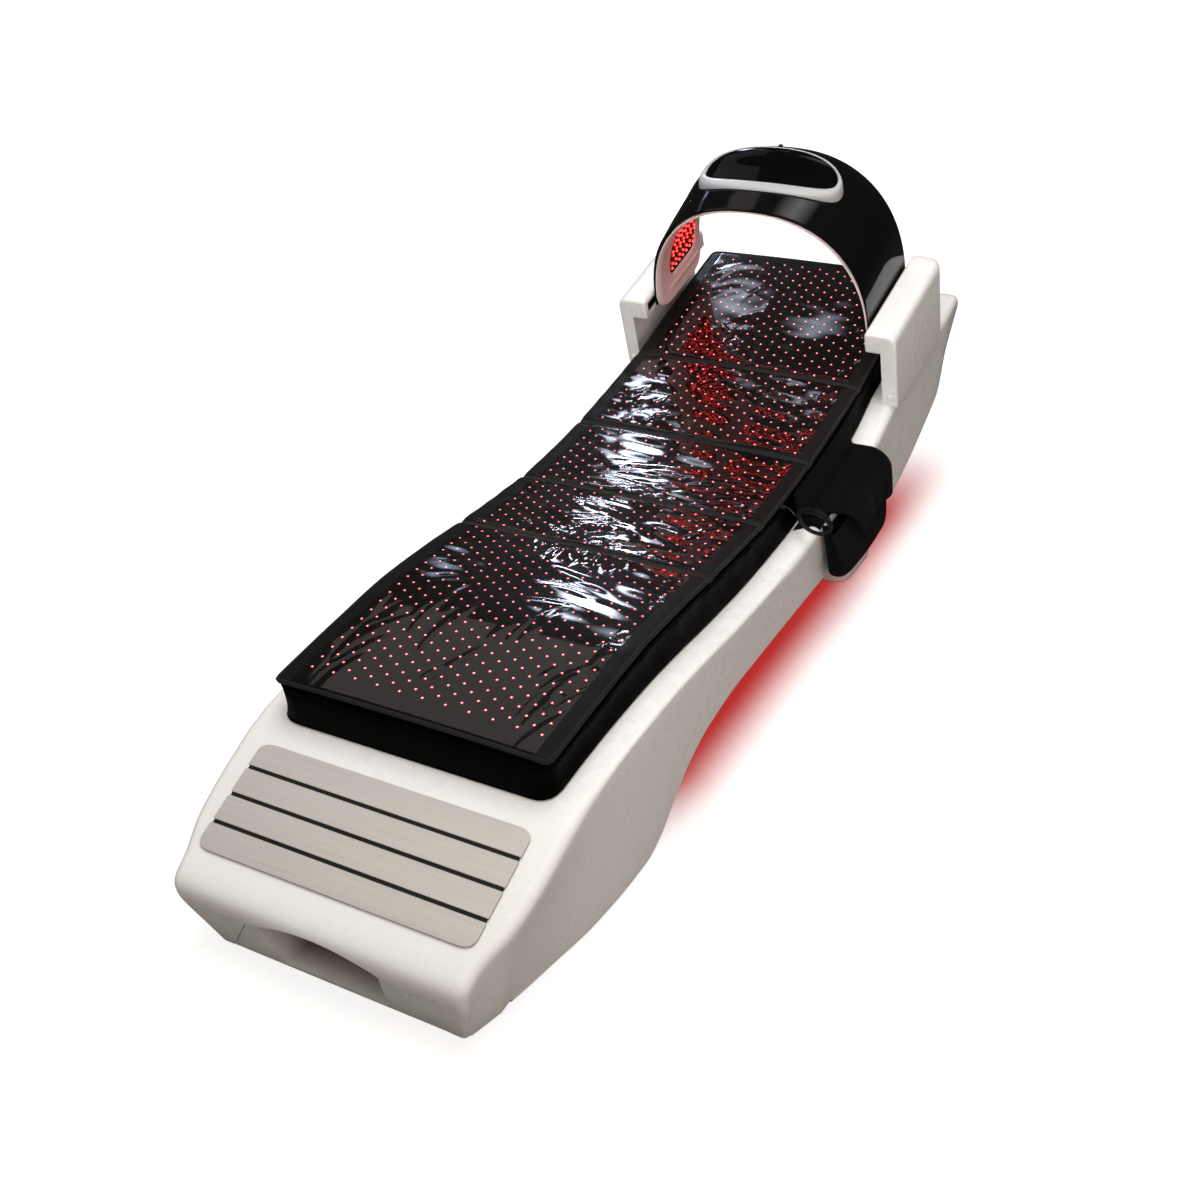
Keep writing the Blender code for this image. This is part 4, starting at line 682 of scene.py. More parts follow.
def make_shell():
    """Loft over the rows: each runs from the wall's lower edge straight up to the shoulder, round it by a
    quarter circle and level to the middle, mirrored."""
    path, half, radius, low = shell_rows()
    ahead = unit(np.gradient(path, axis=0))
    inward = np.c_[ahead[:, 1], -ahead[:, 0]]
    inward[0] = (1.0, 0.0)
    slope = tray_normal(np.array(REAR_END - 0.010))
    inward[-1] = (-slope[1], slope[0])
    edge = np.c_[foot_half(low), wall_edge(low)]
    corner = np.c_[half, path + radius[:, None] * inward]
    edge[0], edge[-1] = corner[0], corner[-1]
    wall = edge[:, None] + (corner - edge)[:, None] * np.linspace(0.0, 1.0, 11)[:-1, None]
    angle = np.radians(np.linspace(90.0, 0.0, 10))
    round_x = half[:, None] - radius[:, None] * (1 - np.sin(angle))
    round_p = path[:, None] + (radius[:, None] * (1 - np.cos(angle)))[..., None] * inward[:, None]
    inner = np.linspace(1.0, 0.0, 12)[1:]
    level = np.dstack([(half - radius)[:, None] * inner, np.repeat(path[:, None], len(inner), 1)])
    right = np.concatenate([wall, np.dstack([round_x, round_p]), level], axis=1)
    left = (right * (-1, 1, 1))[:, :-1]
    grid = on_bed(np.concatenate([left, right[:, ::-1]], axis=1))
    shell = skinned("shell_moulding", grid, SHELL, "bed", ["base_shell"], "shell_white", face=(0, 0, 1))
    solid = shell.modifiers.new("wall", "SOLIDIFY")
    solid.thickness, solid.offset, solid.use_even_offset, solid.thickness_clamp = WALL, -1.0, True, 0.6
    carve(shell, prism("front_opening", opening_outline(), (-0.10, 0.045), 1, on_bed), 30)


def make_tray():
    """Rounded flat bar carried along the tray's line, square to it."""
    s = np.linspace(TRAY_START, REAR_LIP, 170)
    along, up = tray_normal(s)
    half, r = foot_half(s) - 0.002, 0.0045
    turn = np.radians(np.r_[np.linspace(-90, 0, 5), np.linspace(0, 90, 5)])
    inset = r - r * np.cos(turn)
    lift = np.where(np.arange(10) < 5, r + r * np.sin(turn), TRAY_THICK - r + r * np.sin(turn))
    inset, lift = np.r_[inset, inset[::-1]], np.r_[lift, lift[::-1]]
    side = np.r_[np.ones(10), -np.ones(10)]
    grid = np.dstack([side * (half[:, None] - inset), s[:, None] + along[:, None] * lift,
                      tray_low(s)[:, None] + up[:, None] * lift])
    skinned("tray_moulding", on_bed(grid), SHELL, "bed", ["under_tray"], "shell_white")


def make_pedestal():
    """Rounded rectangle that widens downwards by its draft, with a soft foot edge and a socket's pocket."""
    steps = ((TRAY_FLAT - GAP, 0.008), (0.012, 0.001), (0.006, 0.001), (0.0025, 0.0018), (0.0008, 0.003),
             (0.0, 0.005))
    rings = [np.insert(rounded_box(0.299 - inset, 1.583 + inset, 1.775 - inset, (0.045,) * 4, 9), 2, z, axis=1)
             for z, inset in steps]
    foot = skinned("pedestal_moulding", on_bed(rings), SHELL, "bed", ["rear_pedestal"], "shell_white")
    pocket = rounded_box(0.0245, 0.070 - 0.0145, 0.070 + 0.0145, (0.002,) * 4, 3)
    carve(foot, prism("inlet_pocket", pocket, (1.741, 1.80), 1, on_bed))


def make_slats():
    """Four brushed slats in the footrest plane: rounded outlines stepped in over a soft top edge."""
    middle, length, half, base = 0.1135, 0.199 / math.cos(PLATE_SLOPE), 0.280, 0.0033
    end_r, edge_r = 0.030, 0.0012
    pitch = (length + SLAT_GAP) / SLATS
    c, s = math.cos(PLATE_SLOPE), math.sin(PLATE_SLOPE)
    for k in range(SLATS):
        low = -length / 2 + k * pitch
        front, back = end_r if k == 0 else edge_r, end_r if k == SLATS - 1 else edge_r
        rings = []
        for inset, lift in ((0.0, 0.0), (0.0, 0.0019), (0.00018, 0.0023), (0.0006, 0.0025)):
            x, a = rounded_box(half - inset, low + inset, low + pitch - SLAT_GAP - inset,
                               (front, back, back, front), 9).T
            h = base + lift
            rings.append(np.c_[x, middle + a * c - h * s, PLATE_Z + plate_tan * middle + a * s + h * c])
        skinned("slat_%d" % (k + 1), on_bed(rings), SLAT, "bed", ["foot_slat_%d" % (k + 1)], "brushed_slat")


make_shell()
make_tray()
make_pedestal()
make_slats()


# Mattress, mat and clear cover

def crown(x):
    return 0.004 * (1 - (x / PAD_HALF)**2)


def sewn_at(s, width):
    """Nearness to the sewn seams, a Gaussian about each."""
    return bell(s[..., None], MAT_SEAMS, width).sum(-1)


def quilt(x, s):
    """Top of the mat: its line and crown, puffed between the sewn seams and drawn down along them and at the
    rim, with shallow drag waves and two bulges at the right edge of the foot end."""
    seams = np.array((MAT_ENDS[0] - 0.01, *MAT_SEAMS, MAT_ENDS[1] + 0.01))
    sewn = sewn_at(s, 0.008)
    i = np.clip(np.searchsorted(seams, s) - 1, 0, len(seams) - 2)
    share = np.clip((s - seams[i]) / (seams[i + 1] - seams[i]), 0, 1)
    puff = 0.0022 * np.sin(math.pi * share)**0.6
    rim = smooth(0.030, 0.0, MAT_HALF - np.abs(x))
    drag = 0.0006 * np.sin(s * 95 + 9 * x) * np.sin(x * 23 + 2.0 + 6 * s) * (1 - sewn)
    drag = drag * (smooth(0.58, 0.80, s) - 0.75 * smooth(1.62, 1.72, s))
    bulge = 0.0035 * bell(x, 0.262, 0.010) * (bell(s, 0.56, 0.022) + 0.7 * bell(s, 0.49, 0.02))
    return mat_line(s) - MAT_DROP + crown(x) + puff - 0.005 * sewn - 0.0016 * rim + drag + bulge


def pad_rings(stations, inset, half, low, high, side_in, bottom_r, top_r, top):
    """Rings of a pad: rounded foot, sides drawn in between, rounded shoulder and a level top, mirrored."""
    down = np.radians(np.linspace(-90, 0, 5))
    up = np.radians(np.linspace(0, 90, 6))
    t = np.linspace(0, 1, 9)[1:-1]
    step_in = np.r_[bottom_r * (1 - np.cos(down)), side_in * np.sin(math.pi * t), top_r * (1 - np.cos(up))]
    share = np.r_[np.zeros(5), t, np.ones(6)]
    lift = np.r_[bottom_r * (1 + np.sin(down)), bottom_r * (1 - t) - top_r * t, top_r * (np.sin(up) - 1)]
    half, low, high = (half - inset)[:, None], (low + inset)[:, None], (high - inset)[:, None]
    x = half - step_in
    z = low + (high - low) * share + lift
    top_x = (half - top_r) * np.linspace(1, -1, top)[1:-1]
    x = np.concatenate([x, top_x, -x[:, ::-1]], 1)
    z = np.concatenate([z, high + 0 * top_x, z[:, ::-1]], 1)
    return np.dstack([x, np.repeat(stations[:, None], x.shape[1], 1), z])


def with_ends(front, back, inner, round_r):
    """Stations with quarter-circle steps at both ends, and the inset that rounds them."""
    turn = np.radians(np.linspace(90, 0, 6))
    ahead, inset = round_r * (1 - np.sin(turn)), round_r * (1 - np.cos(turn))
    inner = inner[(inner > front + round_r + 1e-4) & (inner < back - round_r - 1e-4)]
    return np.r_[front + ahead, inner, (back - ahead)[::-1]], np.r_[inset, 0 * inner, inset[::-1]]


def plan_half(s, front, back, half, radius):
    """Half width of a rounded rectangle at a station."""
    inside = np.clip(np.minimum(s - front, back - s), 0, radius)
    return half - radius + np.sqrt(np.maximum(radius**2 - (radius - inside)**2, 0))


def rim_path(half, ends, radius, count):
    """Points round a rounded rectangle in plan, evenly spread."""
    outline = rounded_box(half, ends[0], ends[1], (radius,) * 4, 9)
    outline = np.r_[outline, outline[:1]]
    reach = reaches(outline)
    at = np.linspace(0, reach[-1], count, endpoint=False)
    return np.c_[np.interp(at, reach, outline[:, 0]), np.interp(at, reach, outline[:, 1])]


def edge_cord(name, plan, level, radius, sides, finish, slot):
    """Round cord that runs along a closed edge."""
    rings = tube_rings(on_bed(np.c_[plan, level]), radius, sides)
    skinned(name, rings, finish, "bed", [], slot, 80, around=True, loop=True)


def make_mattress():
    """Foam pad: crowned top, sides drawn in and gently rippled, rounded corners, welts at the top and foot edges."""
    inner = np.r_[np.linspace(PAD_ENDS[0], PAD_ENDS[0] + 0.06, 16), np.linspace(0.33, 2.03, 190),
                  np.linspace(PAD_ENDS[1] - 0.06, PAD_ENDS[1], 16)]
    s, inset = with_ends(*PAD_ENDS, inner, 0.012)
    low, high = deck(s) + 0.0004, mat_line(s) - MAT_THICK - MAT_DROP
    grid = pad_rings(s, inset, plan_half(s, *PAD_ENDS, PAD_HALF, PAD_R), low, high, 0.004, 0.008, 0.012, 25)
    x, z = grid[..., 0], grid[..., 2]
    share = (z - low[:, None]) / (high - low)[:, None]
    middle = np.clip(4 * share * (1 - share), 0, 1)
    ripple = 0.0012 * np.sin(grid[..., 1] * 41) + 0.0009 * np.sin(grid[..., 1] * 97 + 5 * share)
    grid[..., 0] = x - np.sign(x) * np.where(np.abs(x) > PAD_HALF - 0.03, middle * (0.0012 + ripple), 0)
    grid[..., 2] = z + np.where(share > 0.98, crown(x), 0)
    pad = skinned("mattress_pad", on_bed(grid), COVER, "bed", ["mattress"], "cushion_cover", 60)
    inset = 0.0022
    plan = rim_path(PAD_HALF - inset, (PAD_ENDS[0] + inset, PAD_ENDS[1] - inset), PAD_R, 420)
    top = mat_line(plan[:, 1]) - MAT_THICK - MAT_DROP - 0.004
    edge_cord("welt_top", plan, top, 0.0030, 8, COVER, "cushion_cover")
    edge_cord("welt_foot", plan, deck(plan[:, 1]) + 0.0052, 0.0024, 8, COVER, "cushion_cover")


def make_mat():
    """LED mat: a thin quilted pad whose top follows the quilt surface, with a bound edge."""
    fine = np.concatenate([seam + np.linspace(-0.02, 0.02, 13) for seam in MAT_SEAMS])
    inner = np.sort(np.r_[np.linspace(*MAT_ENDS, 210), fine])
    s, inset = with_ends(*MAT_ENDS, inner, 0.0035)
    low, high = mat_line(s) - MAT_THICK - 0.0012, mat_line(s) - MAT_DROP
    grid = pad_rings(s, inset, plan_half(s, *MAT_ENDS, MAT_HALF, 0.010), low, high, 0.0, 0.003, 0.004, 49)
    top = grid[..., 2] > (mat_line(s) - 0.0019 - inset)[:, None]
    lifted = quilt(grid[..., 0], grid[..., 1]) - inset[:, None]
    grid[..., 2] = np.where(top, lifted, np.minimum(grid[..., 2], lifted - 0.0004) + 0.5 * crown(grid[..., 0]))
    mat = skinned("led_mat_quilt", on_bed(grid), VINYL, "bed", ["led_mat"], "mat_vinyl", 70)
    plan = rim_path(MAT_HALF, MAT_ENDS, 0.012, 520)
    edge_cord("mat_binding", plan, quilt(*plan.T) - 0.0028, 0.0042, 10, TAPE, "mat_vinyl")


def make_tapes():
    """Tapes sewn across the seams: a low lens section carried across the mat's top."""
    turn = np.linspace(0, 2 * math.pi, 14, endpoint=False)
    x = np.repeat(np.linspace(-0.2785, 0.2785, 90)[:, None], len(turn), 1)
    for k, seam in enumerate(MAT_SEAMS):
        s = seam + 0.0068 * np.cos(turn) + 0.0012 * np.sin(x * 31 + k)
        grid = np.dstack([x, s, quilt(x, s) + 0.0016 + 0.0011 * np.sin(turn)])
        skinned("seam_tape_%d" % (k + 1), on_bed(grid), TAPE, "bed", [], "mat_vinyl", 70)


def creases(x, s):
    """Folds of the film: soft ridges, each a Gaussian across its line and along it. They crowd at the calf and
    the seat, run across the bed, fan out from the seams and crinkle by the head; the foot end lies flat, with
    one bubble at its right edge, a flat-topped Gaussian. A field is a count, the ranges of station and place
    across, the mean and spread of the angle, the range of length, the width and the height."""
    rng = np.random.default_rng(7)
    lift = np.zeros_like(x)
    fields = [(22, (0.81, 0.862), (-0.09, 0.15), (1.50, 0.30), (0.016, 0.036), 0.0060, 0.0016),
              (12, (0.64, 0.78), (0.00, 0.18), (0.06, 0.20), (0.04, 0.09), 0.0100, 0.0009),
              (7, (0.64, 0.75), (-0.20, -0.15), (0.0, 0.3), (0.018, 0.04), 0.0060, 0.0012),
              (9, (0.91, 0.95), (-0.17, -0.04), (0.6, 1.2), (0.008, 0.016), 0.0070, 0.0016),
              (18, (0.89, 1.01), (-0.03, 0.11), (0.1, 0.6), (0.018, 0.06), 0.0072, 0.0019),
              (9, (1.03, 1.09), (-0.20, 0.02), (0.0, 0.2), (0.02, 0.05), 0.0062, 0.0013),
              (12, (1.00, 1.10), (0.15, 0.21), (1.2, 0.6), (0.010, 0.03), 0.0060, 0.0016),
              (16, (1.116, 1.13), (-0.06, 0.08), (0.9, 0.9), (0.006, 0.012), 0.0060, 0.0016),
              (18, (1.15, 1.25), (-0.10, 0.06), (0.05, 0.15), (0.03, 0.09), 0.0075, 0.0011),
              (8, (1.15, 1.24), (0.08, 0.22), (0.12, 0.15), (0.05, 0.10), 0.0060, 0.0011),
              (14, (1.43, 1.51), (-0.21, -0.10), (0.7, 0.9), (0.012, 0.035), 0.0075, 0.0011),
              (12, (1.38, 1.41), (-0.19, -0.04), (0.8, 0.9), (0.006, 0.012), 0.0060, 0.0009),
              (14, (1.85, 2.05), (-0.22, 0.00), (0.5, 0.7), (0.02, 0.06), 0.0100, 0.0005),
              (80, (1.67, 1.80), (-0.19, -0.05), (0.8, 1.0), (0.005, 0.014), 0.0055, 0.0007),
              (14, (1.54, 1.66), (-0.06, 0.20), (0.8, 1.0), (0.005, 0.014), 0.0055, 0.0006),
              (30, (0.29, 0.56), (-0.24, 0.24), (1.36, 0.12), (0.03, 0.08), 0.0062, 0.0011),
              (60, (0.30, 2.05), (0.215, 0.246), (1.3, 0.5), (0.006, 0.014), 0.0052, 0.0012)]
    for count, along, across, turn, size, thick, high in fields:
        s0, x0 = rng.uniform(*along, count), rng.uniform(*across, count)
        angle = rng.normal(turn[0], turn[1], count)
        length, width = rng.uniform(*size, count), thick * rng.uniform(0.75, 1.3, count)
        height = high * rng.uniform(0.4, 1.0, count) * rng.choice((-0.6, 1.0, 1.0), count)
        for a, b, t, l, w, h in zip(s0, x0, angle, length, width, height):
            p = (x - b) * math.cos(t) + (s - a) * math.sin(t)
            q = (s - a) * math.cos(t) - (x - b) * math.sin(t) + 0.15 * p * p / l
            lift += h * np.exp(-(p / l)**2 - (q / w)**2)
    lift += 0.0042 * np.exp(-((x - 0.243) / 0.017)**4 - ((s - 0.530) / 0.036)**4)
    return np.clip(lift, -0.0006, 0.0048) * (1 - 0.85 * np.clip(sewn_at(s, 0.010), 0, 1))


def make_film():
    """Clear sheet over the mat: the quilt's top, lifted a little, with the folds on it."""
    x, s = np.meshgrid(np.linspace(-0.253, 0.2505, 188), np.linspace(0.275, 2.082, 524))
    grid = np.dstack([x, s, quilt(x, s) + 0.0011 + creases(x, s)])
    film = skinned("cover_film", on_bed(grid), FILM, "bed", ["mat_cover_film"], "clear_film", 180, face=(0, 0, 1))


def dots(name, centres, frames, profile, core, finish, body, sides):
    """One small turned dome repeated at every centre, standing on its own frame; core marks its hot middle."""
    form = turned(profile, lambda a, b, h: np.stack([a, b, h], -1), sides).reshape(-1, 3)
    form = np.r_[form, [(0, 0, profile[-1][1] * 1.12)]]
    points = centres[:, None] + np.einsum("kj,nji->nki", form, frames)
    j = np.arange(sides)
    n, tip = (j + 1) % sides, (len(profile) - 1) * sides
    row = np.arange(0, tip, sides)[:, None]
    quads = np.stack([row + j, row + n, row + sides + n, row + sides + j], -1).reshape(-1, 4)
    fans = np.stack([tip + j, tip + n, np.full(sides, len(form) - 1)], -1)
    shift = np.arange(len(centres))[:, None, None] * len(form)
    faces = (quads + shift).reshape(-1, 4).tolist() + (fans + shift).reshape(-1, 3).tolist()
    mesh = mesh_of(name, points, faces)
    hot = np.tile(np.r_[np.repeat(core[:-1], sides), core[-1]], len(centres)).astype(np.float32)
    mesh.attributes.new("core", "FLOAT", "POINT").data.foreach_set("value", hot)
    piece(name, mesh, finish, body, [], 80)


def make_mat_leds():
    """Staggered grid of diodes: every other column is shifted by half a pitch; none on the seams."""
    pitch_x, pitch_s, step = 0.0237, 0.0298, 1e-3
    column, row = np.meshgrid(np.arange(21), np.arange(60))
    x = -0.2355 + pitch_x * column
    s = 0.318 + pitch_s * row + pitch_s / 2 * (column % 2)
    keep = (s < 2.062) & (np.abs(s[..., None] - MAT_SEAMS).min(-1) > 0.0095)
    x, s = x[keep], s[keep]
    slope_s = (quilt(x, s + step) - quilt(x, s - step)) / (2 * step)
    slope_x = (quilt(x + step, s) - quilt(x - step, s)) / (2 * step)
    up = unit(np.stack([-slope_x, -slope_s, np.ones_like(x)], -1))
    ahead = unit(np.cross(up, (1.0, 0.0, 0.0)))
    frames = np.stack([np.cross(ahead, up), ahead, up], 1)
    centres = on_bed(np.stack([x, s, quilt(x, s) - 0.0001], -1))
    dots("mat_leds", centres, frames, [(0.0031, 0.0), (0.0021, 0.0004), (0.0010, 0.00065)],
         (0.0, 0.02, 0.50, 1.0), MAT_LED, "bed", 8)


make_mattress()
make_mat()
make_tapes()
make_film()
make_mat_leds()


# Head end: armrests and dome

def make_armrest(side, hand):
    """Inverted L carried along the head: hooks in over the mattress, laps the rim, rounded at both ends;
    with a slot for the rail and a turned plug on its front."""
    front, back, nose, back_r = -0.046, 0.290, 0.007, 0.034
    turn = np.radians(np.linspace(90, 0, 7))
    u = np.r_[front + nose * (1 - np.sin(turn)), np.linspace(front + 0.012, back - 0.036, 44),
              back - back_r * (1 - np.sin(np.radians(np.linspace(0, 90, 14))))]
    trim = np.r_[nose * (1 - np.cos(turn)), np.zeros(len(u) - 7)]
    past = np.clip(1 - (back - u) / back_r, 0, 1)
    arc = back_r * (1 - np.sqrt(np.maximum(1 - past**2, 0)))
    a, b = deck_rows() - HEAD_STATION, deck(deck_rows()) - HEAD_AT[1]
    c, s = math.cos(HEAD_TILT), math.sin(HEAD_TILT)
    deck_u, deck_n = a * c + b * s, b * c - a * s
    leg = np.interp(u, deck_u, deck_n) + 0.0006
    share = (u - front) / (back - front)
    out, over_rim = 0.3495 - trim - arc * 0.7, HEAD_HALF + 0.0016
    apron = np.minimum(over_rim, out - 0.004)
    lap = np.where(apron < over_rim, GAP, 0.009 * np.sin(math.pi * np.clip(share, 0.04, 0.96))**0.5)
    top = 0.037 - trim - arc * 0.25
    inner, notch, lip = 0.276 + trim, np.full_like(u, 0.314), -0.015 + trim
    corners = [(inner, lip), (notch, lip), (notch, leg), (apron, leg), (apron, leg - lap), (out, leg - lap),
               (out, top), (inner, top)]
    ring = rounded_corners(np.array(corners).transpose(0, 2, 1),
                           (0.005, 0.004, 0.0008, 0.0004, 0.0008, 0.0025, 0.024, 0.011), 6)
    grid = np.stack([side * ring[..., 0], np.broadcast_to(u, ring.shape[:2]), ring[..., 1]], -1).transpose(1, 0, 2)
    arm = skinned("armrest_moulding_" + hand, on_head(grid), SHELL, "bed", ["armrest_" + hand], "shell_white", 32)
    ends = (front + 0.016, back - 0.028)
    slot = rounded_box((ends[1] - ends[0]) / 2, 0.0005, 0.0235, (0.001,) * 4, 3) + (sum(ends) / 2, 0.0)
    carve(arm, prism("rail_slot", slot, (side * 0.266, side * 0.292), 0, on_head), 32)
    n = float(np.interp(front + 0.01, deck_u, deck_n)) + 0.022
    cap = turned([(0.0001, 0.0034), (0.003, 0.0033), (0.0055, 0.0028), (0.0070, 0.0018), (0.0075, 0.0006),
                  (0.0075, 0.0002)], lambda p, q, h: on_head(np.stack([side * 0.332 + p, front - h, n + q], -1)), 28)
    skinned("armrest_plug_" + hand, cap, SHELL, "bed", ["armrest_cap_" + hand], "shell_white")


dome_top = line_through([(0.0, 0.288), (0.05, 0.2945), (0.09, 0.3005), (0.13, 0.3135), (0.18, 0.3325),
                         (0.215, 0.3245), (0.25, 0.3075)])
dome_power = line_through([(0.0, 2.40), (0.09, 2.56), (0.18, 2.42), (0.25, 2.36)])


def arch(share, u, half, top, power):
    """Superellipse arch from the left foot (0) to the right foot (1), as head-frame points."""
    angle = math.pi * (1 - share)
    x = half * bent(np.cos(angle), 2 / power)
    n = top * np.maximum(np.sin(angle), 0.0)**(2 / power)
    return np.stack([x, np.broadcast_to(u, x.shape), n], -1)


def dome_height(x, u):
    power = dome_power(u)
    return dome_top(u) * (1 - np.minimum(np.abs(x) / DOME_HALF, 1.0)**power)**(1 / power)


def liner_grid(share, u, inset):
    """Points of the liner, drawn in by an inset from the skin's inside."""
    top = 0.284 + 0.0185 * u / DOME_DEPTH - GAP
    return arch(share, u, LINER_HALF - inset, top - inset, 2.28)


def make_dome():
    """Skin: superellipse arches lofted along the head, a closed ring of outside and inside at each share."""
    share, e, soft = np.linspace(0.0, 1.0, 141)[:, None], 0.0016, 0.0005
    run = np.linspace(e, DOME_DEPTH - e, 46)
    u = np.r_[run, DOME_DEPTH - soft, DOME_DEPTH, DOME_DEPTH, run[::-1], 0.0, 0.0, soft]
    inset = np.r_[0 * run, soft, e, DOME_SKIN - e, 0 * run + DOME_SKIN, DOME_SKIN - e, e, soft]
    grid = arch(share, u, DOME_HALF - inset, dome_top(u) - inset, dome_power(u))
    skinned("dome_shell", on_head(grid), GLOSS, "dome", ["dome_skin"], "gloss_black", 50)


def window_mask(share, u):
    """1 inside a window: a rounded rectangle on the unrolled liner, softened over 3 mm."""
    mask = np.zeros(np.broadcast(share, u).shape)
    for low, high in WINDOWS.values():
        a = np.abs(share - (low + high) / 2) * 0.80 - (high - low) / 2 * 0.80 + WINDOW_R
        b = np.abs(u - sum(WINDOW_U) / 2) - (WINDOW_U[1] - WINDOW_U[0]) / 2 + WINDOW_R
        far = np.hypot(np.maximum(a, 0), np.maximum(b, 0)) + np.minimum(np.maximum(a, b), 0) - WINDOW_R
        mask = np.maximum(mask, smooth(0.0, -0.003, far))
    return mask


def liner_foot(u, inset):
    """Left foot of the liner from its lower edge up: the lower corners are quarter circles, the edge is rounded."""
    edge_r, middle = 0.0030, LINER / 2
    over = np.radians(np.linspace(80.0, 0.0, 5))
    turn = np.r_[0 * over, np.radians(np.linspace(0.0, 90.0, 14)[1:-1])]
    below = np.r_[edge_r * np.sin(over), np.zeros(12)]
    squeeze = np.r_[np.cos(over), np.ones(12)][:, None]
    n = LINER_R * (1 - np.cos(turn)) - LINER_DROP + edge_r - below
    trim = (LINER_R * (1 - np.sin(turn)))[:, None]
    front, back = u.min(), u.max()
    along = front + trim + (u - front) * (back - front - 2 * trim) / (back - front)
    x = -(LINER_HALF - middle - (inset - middle) * squeeze)
    return np.stack([x, np.broadcast_to(along, x.shape), np.broadcast_to(n[:, None], x.shape)], -1)


def make_liner():
    """Pale liner: thin bead at the front edge that swells to full thickness, with three sunk windows and a soft
    ridge under the side ones; its feet reach below the skin."""
    share = np.linspace(0.0165, 1 - 0.0165, 241)[:, None]
    run = np.linspace(0.004, DOME_DEPTH - 0.004, 70)
    bead, edge = 0.0040, (0.0010, 0.0032)
    thick = bead + (LINER - bead) * smooth(0.0, 0.016, np.minimum(run, DOME_DEPTH - run))
    back = np.linspace(0.002, DOME_DEPTH - 0.002, 12)
    u = np.r_[back, DOME_DEPTH - 0.001, DOME_DEPTH - 0.001, run[::-1], 0.001, 0.001]
    inner = thick[::-1] - WINDOW_DEPTH * window_mask(share, run[::-1])
    flat = np.ones((len(share), 1))
    inset = np.concatenate([0 * back * flat, flat * edge, inner, flat * edge[::-1]], 1)
    plain = np.r_[0 * back, edge, thick[::-1], edge[::-1]]
    ridge = 0.0028 * smooth(0.050, 0.075, u) * smooth(0.235, 0.215, u) * (plain > 0.0035)
    foot = liner_foot(u, plain)
    foot[..., 0] += ridge * bell(foot[..., 2], 0.011, 0.0055)
    grid = np.concatenate([foot, liner_grid(share, u, inset), foot[::-1] * (-1, 1, 1)])
    skinned("dome_lining", on_head(grid), PALE, "dome", ["dome_liner"], "liner_pale", 60)


def make_boards():
    """Dark LED board in each window, and staggered red bulbs standing on it."""
    u = np.linspace(WINDOW_U[0] + 0.004, WINDOW_U[1] - 0.004, 24)
    floor = LINER - WINDOW_DEPTH + 0.0002
    face = LINER - WINDOW_DEPTH + 0.0020
    inset = np.r_[np.full(len(u), face), np.full(len(u), floor)]
    for hand, (low, high) in WINDOWS.items():
        t = np.linspace(low + 0.006, high - 0.006, 30)[:, None]
        skinned("bulb_board_" + hand, on_head(liner_grid(t, np.r_[u, u[::-1]], inset)), BLACK, "dome",
                ["led_board_" + hand], "led_board", 50)
        span = (high - low) * LINER_ARC
        lines = int(span / BULB_PITCH)
        row, column = np.meshgrid(np.arange(2 * lines), np.arange(7), indexing="ij")
        reach = 0.0085 + BULB_PITCH * (row // 2) + 0.0118 * (row % 2) + (span - BULB_PITCH * lines) / 2
        share = low + reach / LINER_ARC
        share = (share if hand != "right" else low + high - share).ravel()
        at = (WINDOW_U[0] + 0.0125 + 0.0200 * column + 0.0018 * (row % 3)).ravel()
        centre, inner, side = [on_head(liner_grid(share + shift, at, np.full_like(at, depth)))
                               for shift, depth in ((0.0, face), (0.0, face + 0.001), (1e-3, face))]
        up = unit(inner - centre)
        across = side - centre
        across = unit(across - (across * up).sum(1)[:, None] * up)
        frames = np.stack([across, np.cross(up, across), up], 1)
        dots("dome_bulbs_" + hand, centre, frames,
             [(0.0039, 0.0), (0.0039, 0.0020), (0.0034, 0.0042), (0.0020, 0.0054)],
             (0.0, 0.02, 0.16, 0.70, 1.0), BULB, "dome", 10)


def bean(angle, share):
    """Console outline in plan, a bowed superellipse, from the bezel's outer edge (0) to the glass (1)."""
    half, depth, middle = 0.174 - 0.0145 * share, 0.0645 - 0.0155 * share, 0.128 + 0.0105 * share
    x = half * bent(np.cos(angle), 2 / 2.35)
    return x, middle + depth * bent(np.sin(angle), 2 / 2.35) + 0.0055 * (1 - (x / half)**2)


def end_rise(x):
    """How much more the console stands over the dome towards its ends, a cubic."""
    return 0.014 * (np.abs(x) / 0.170)**3


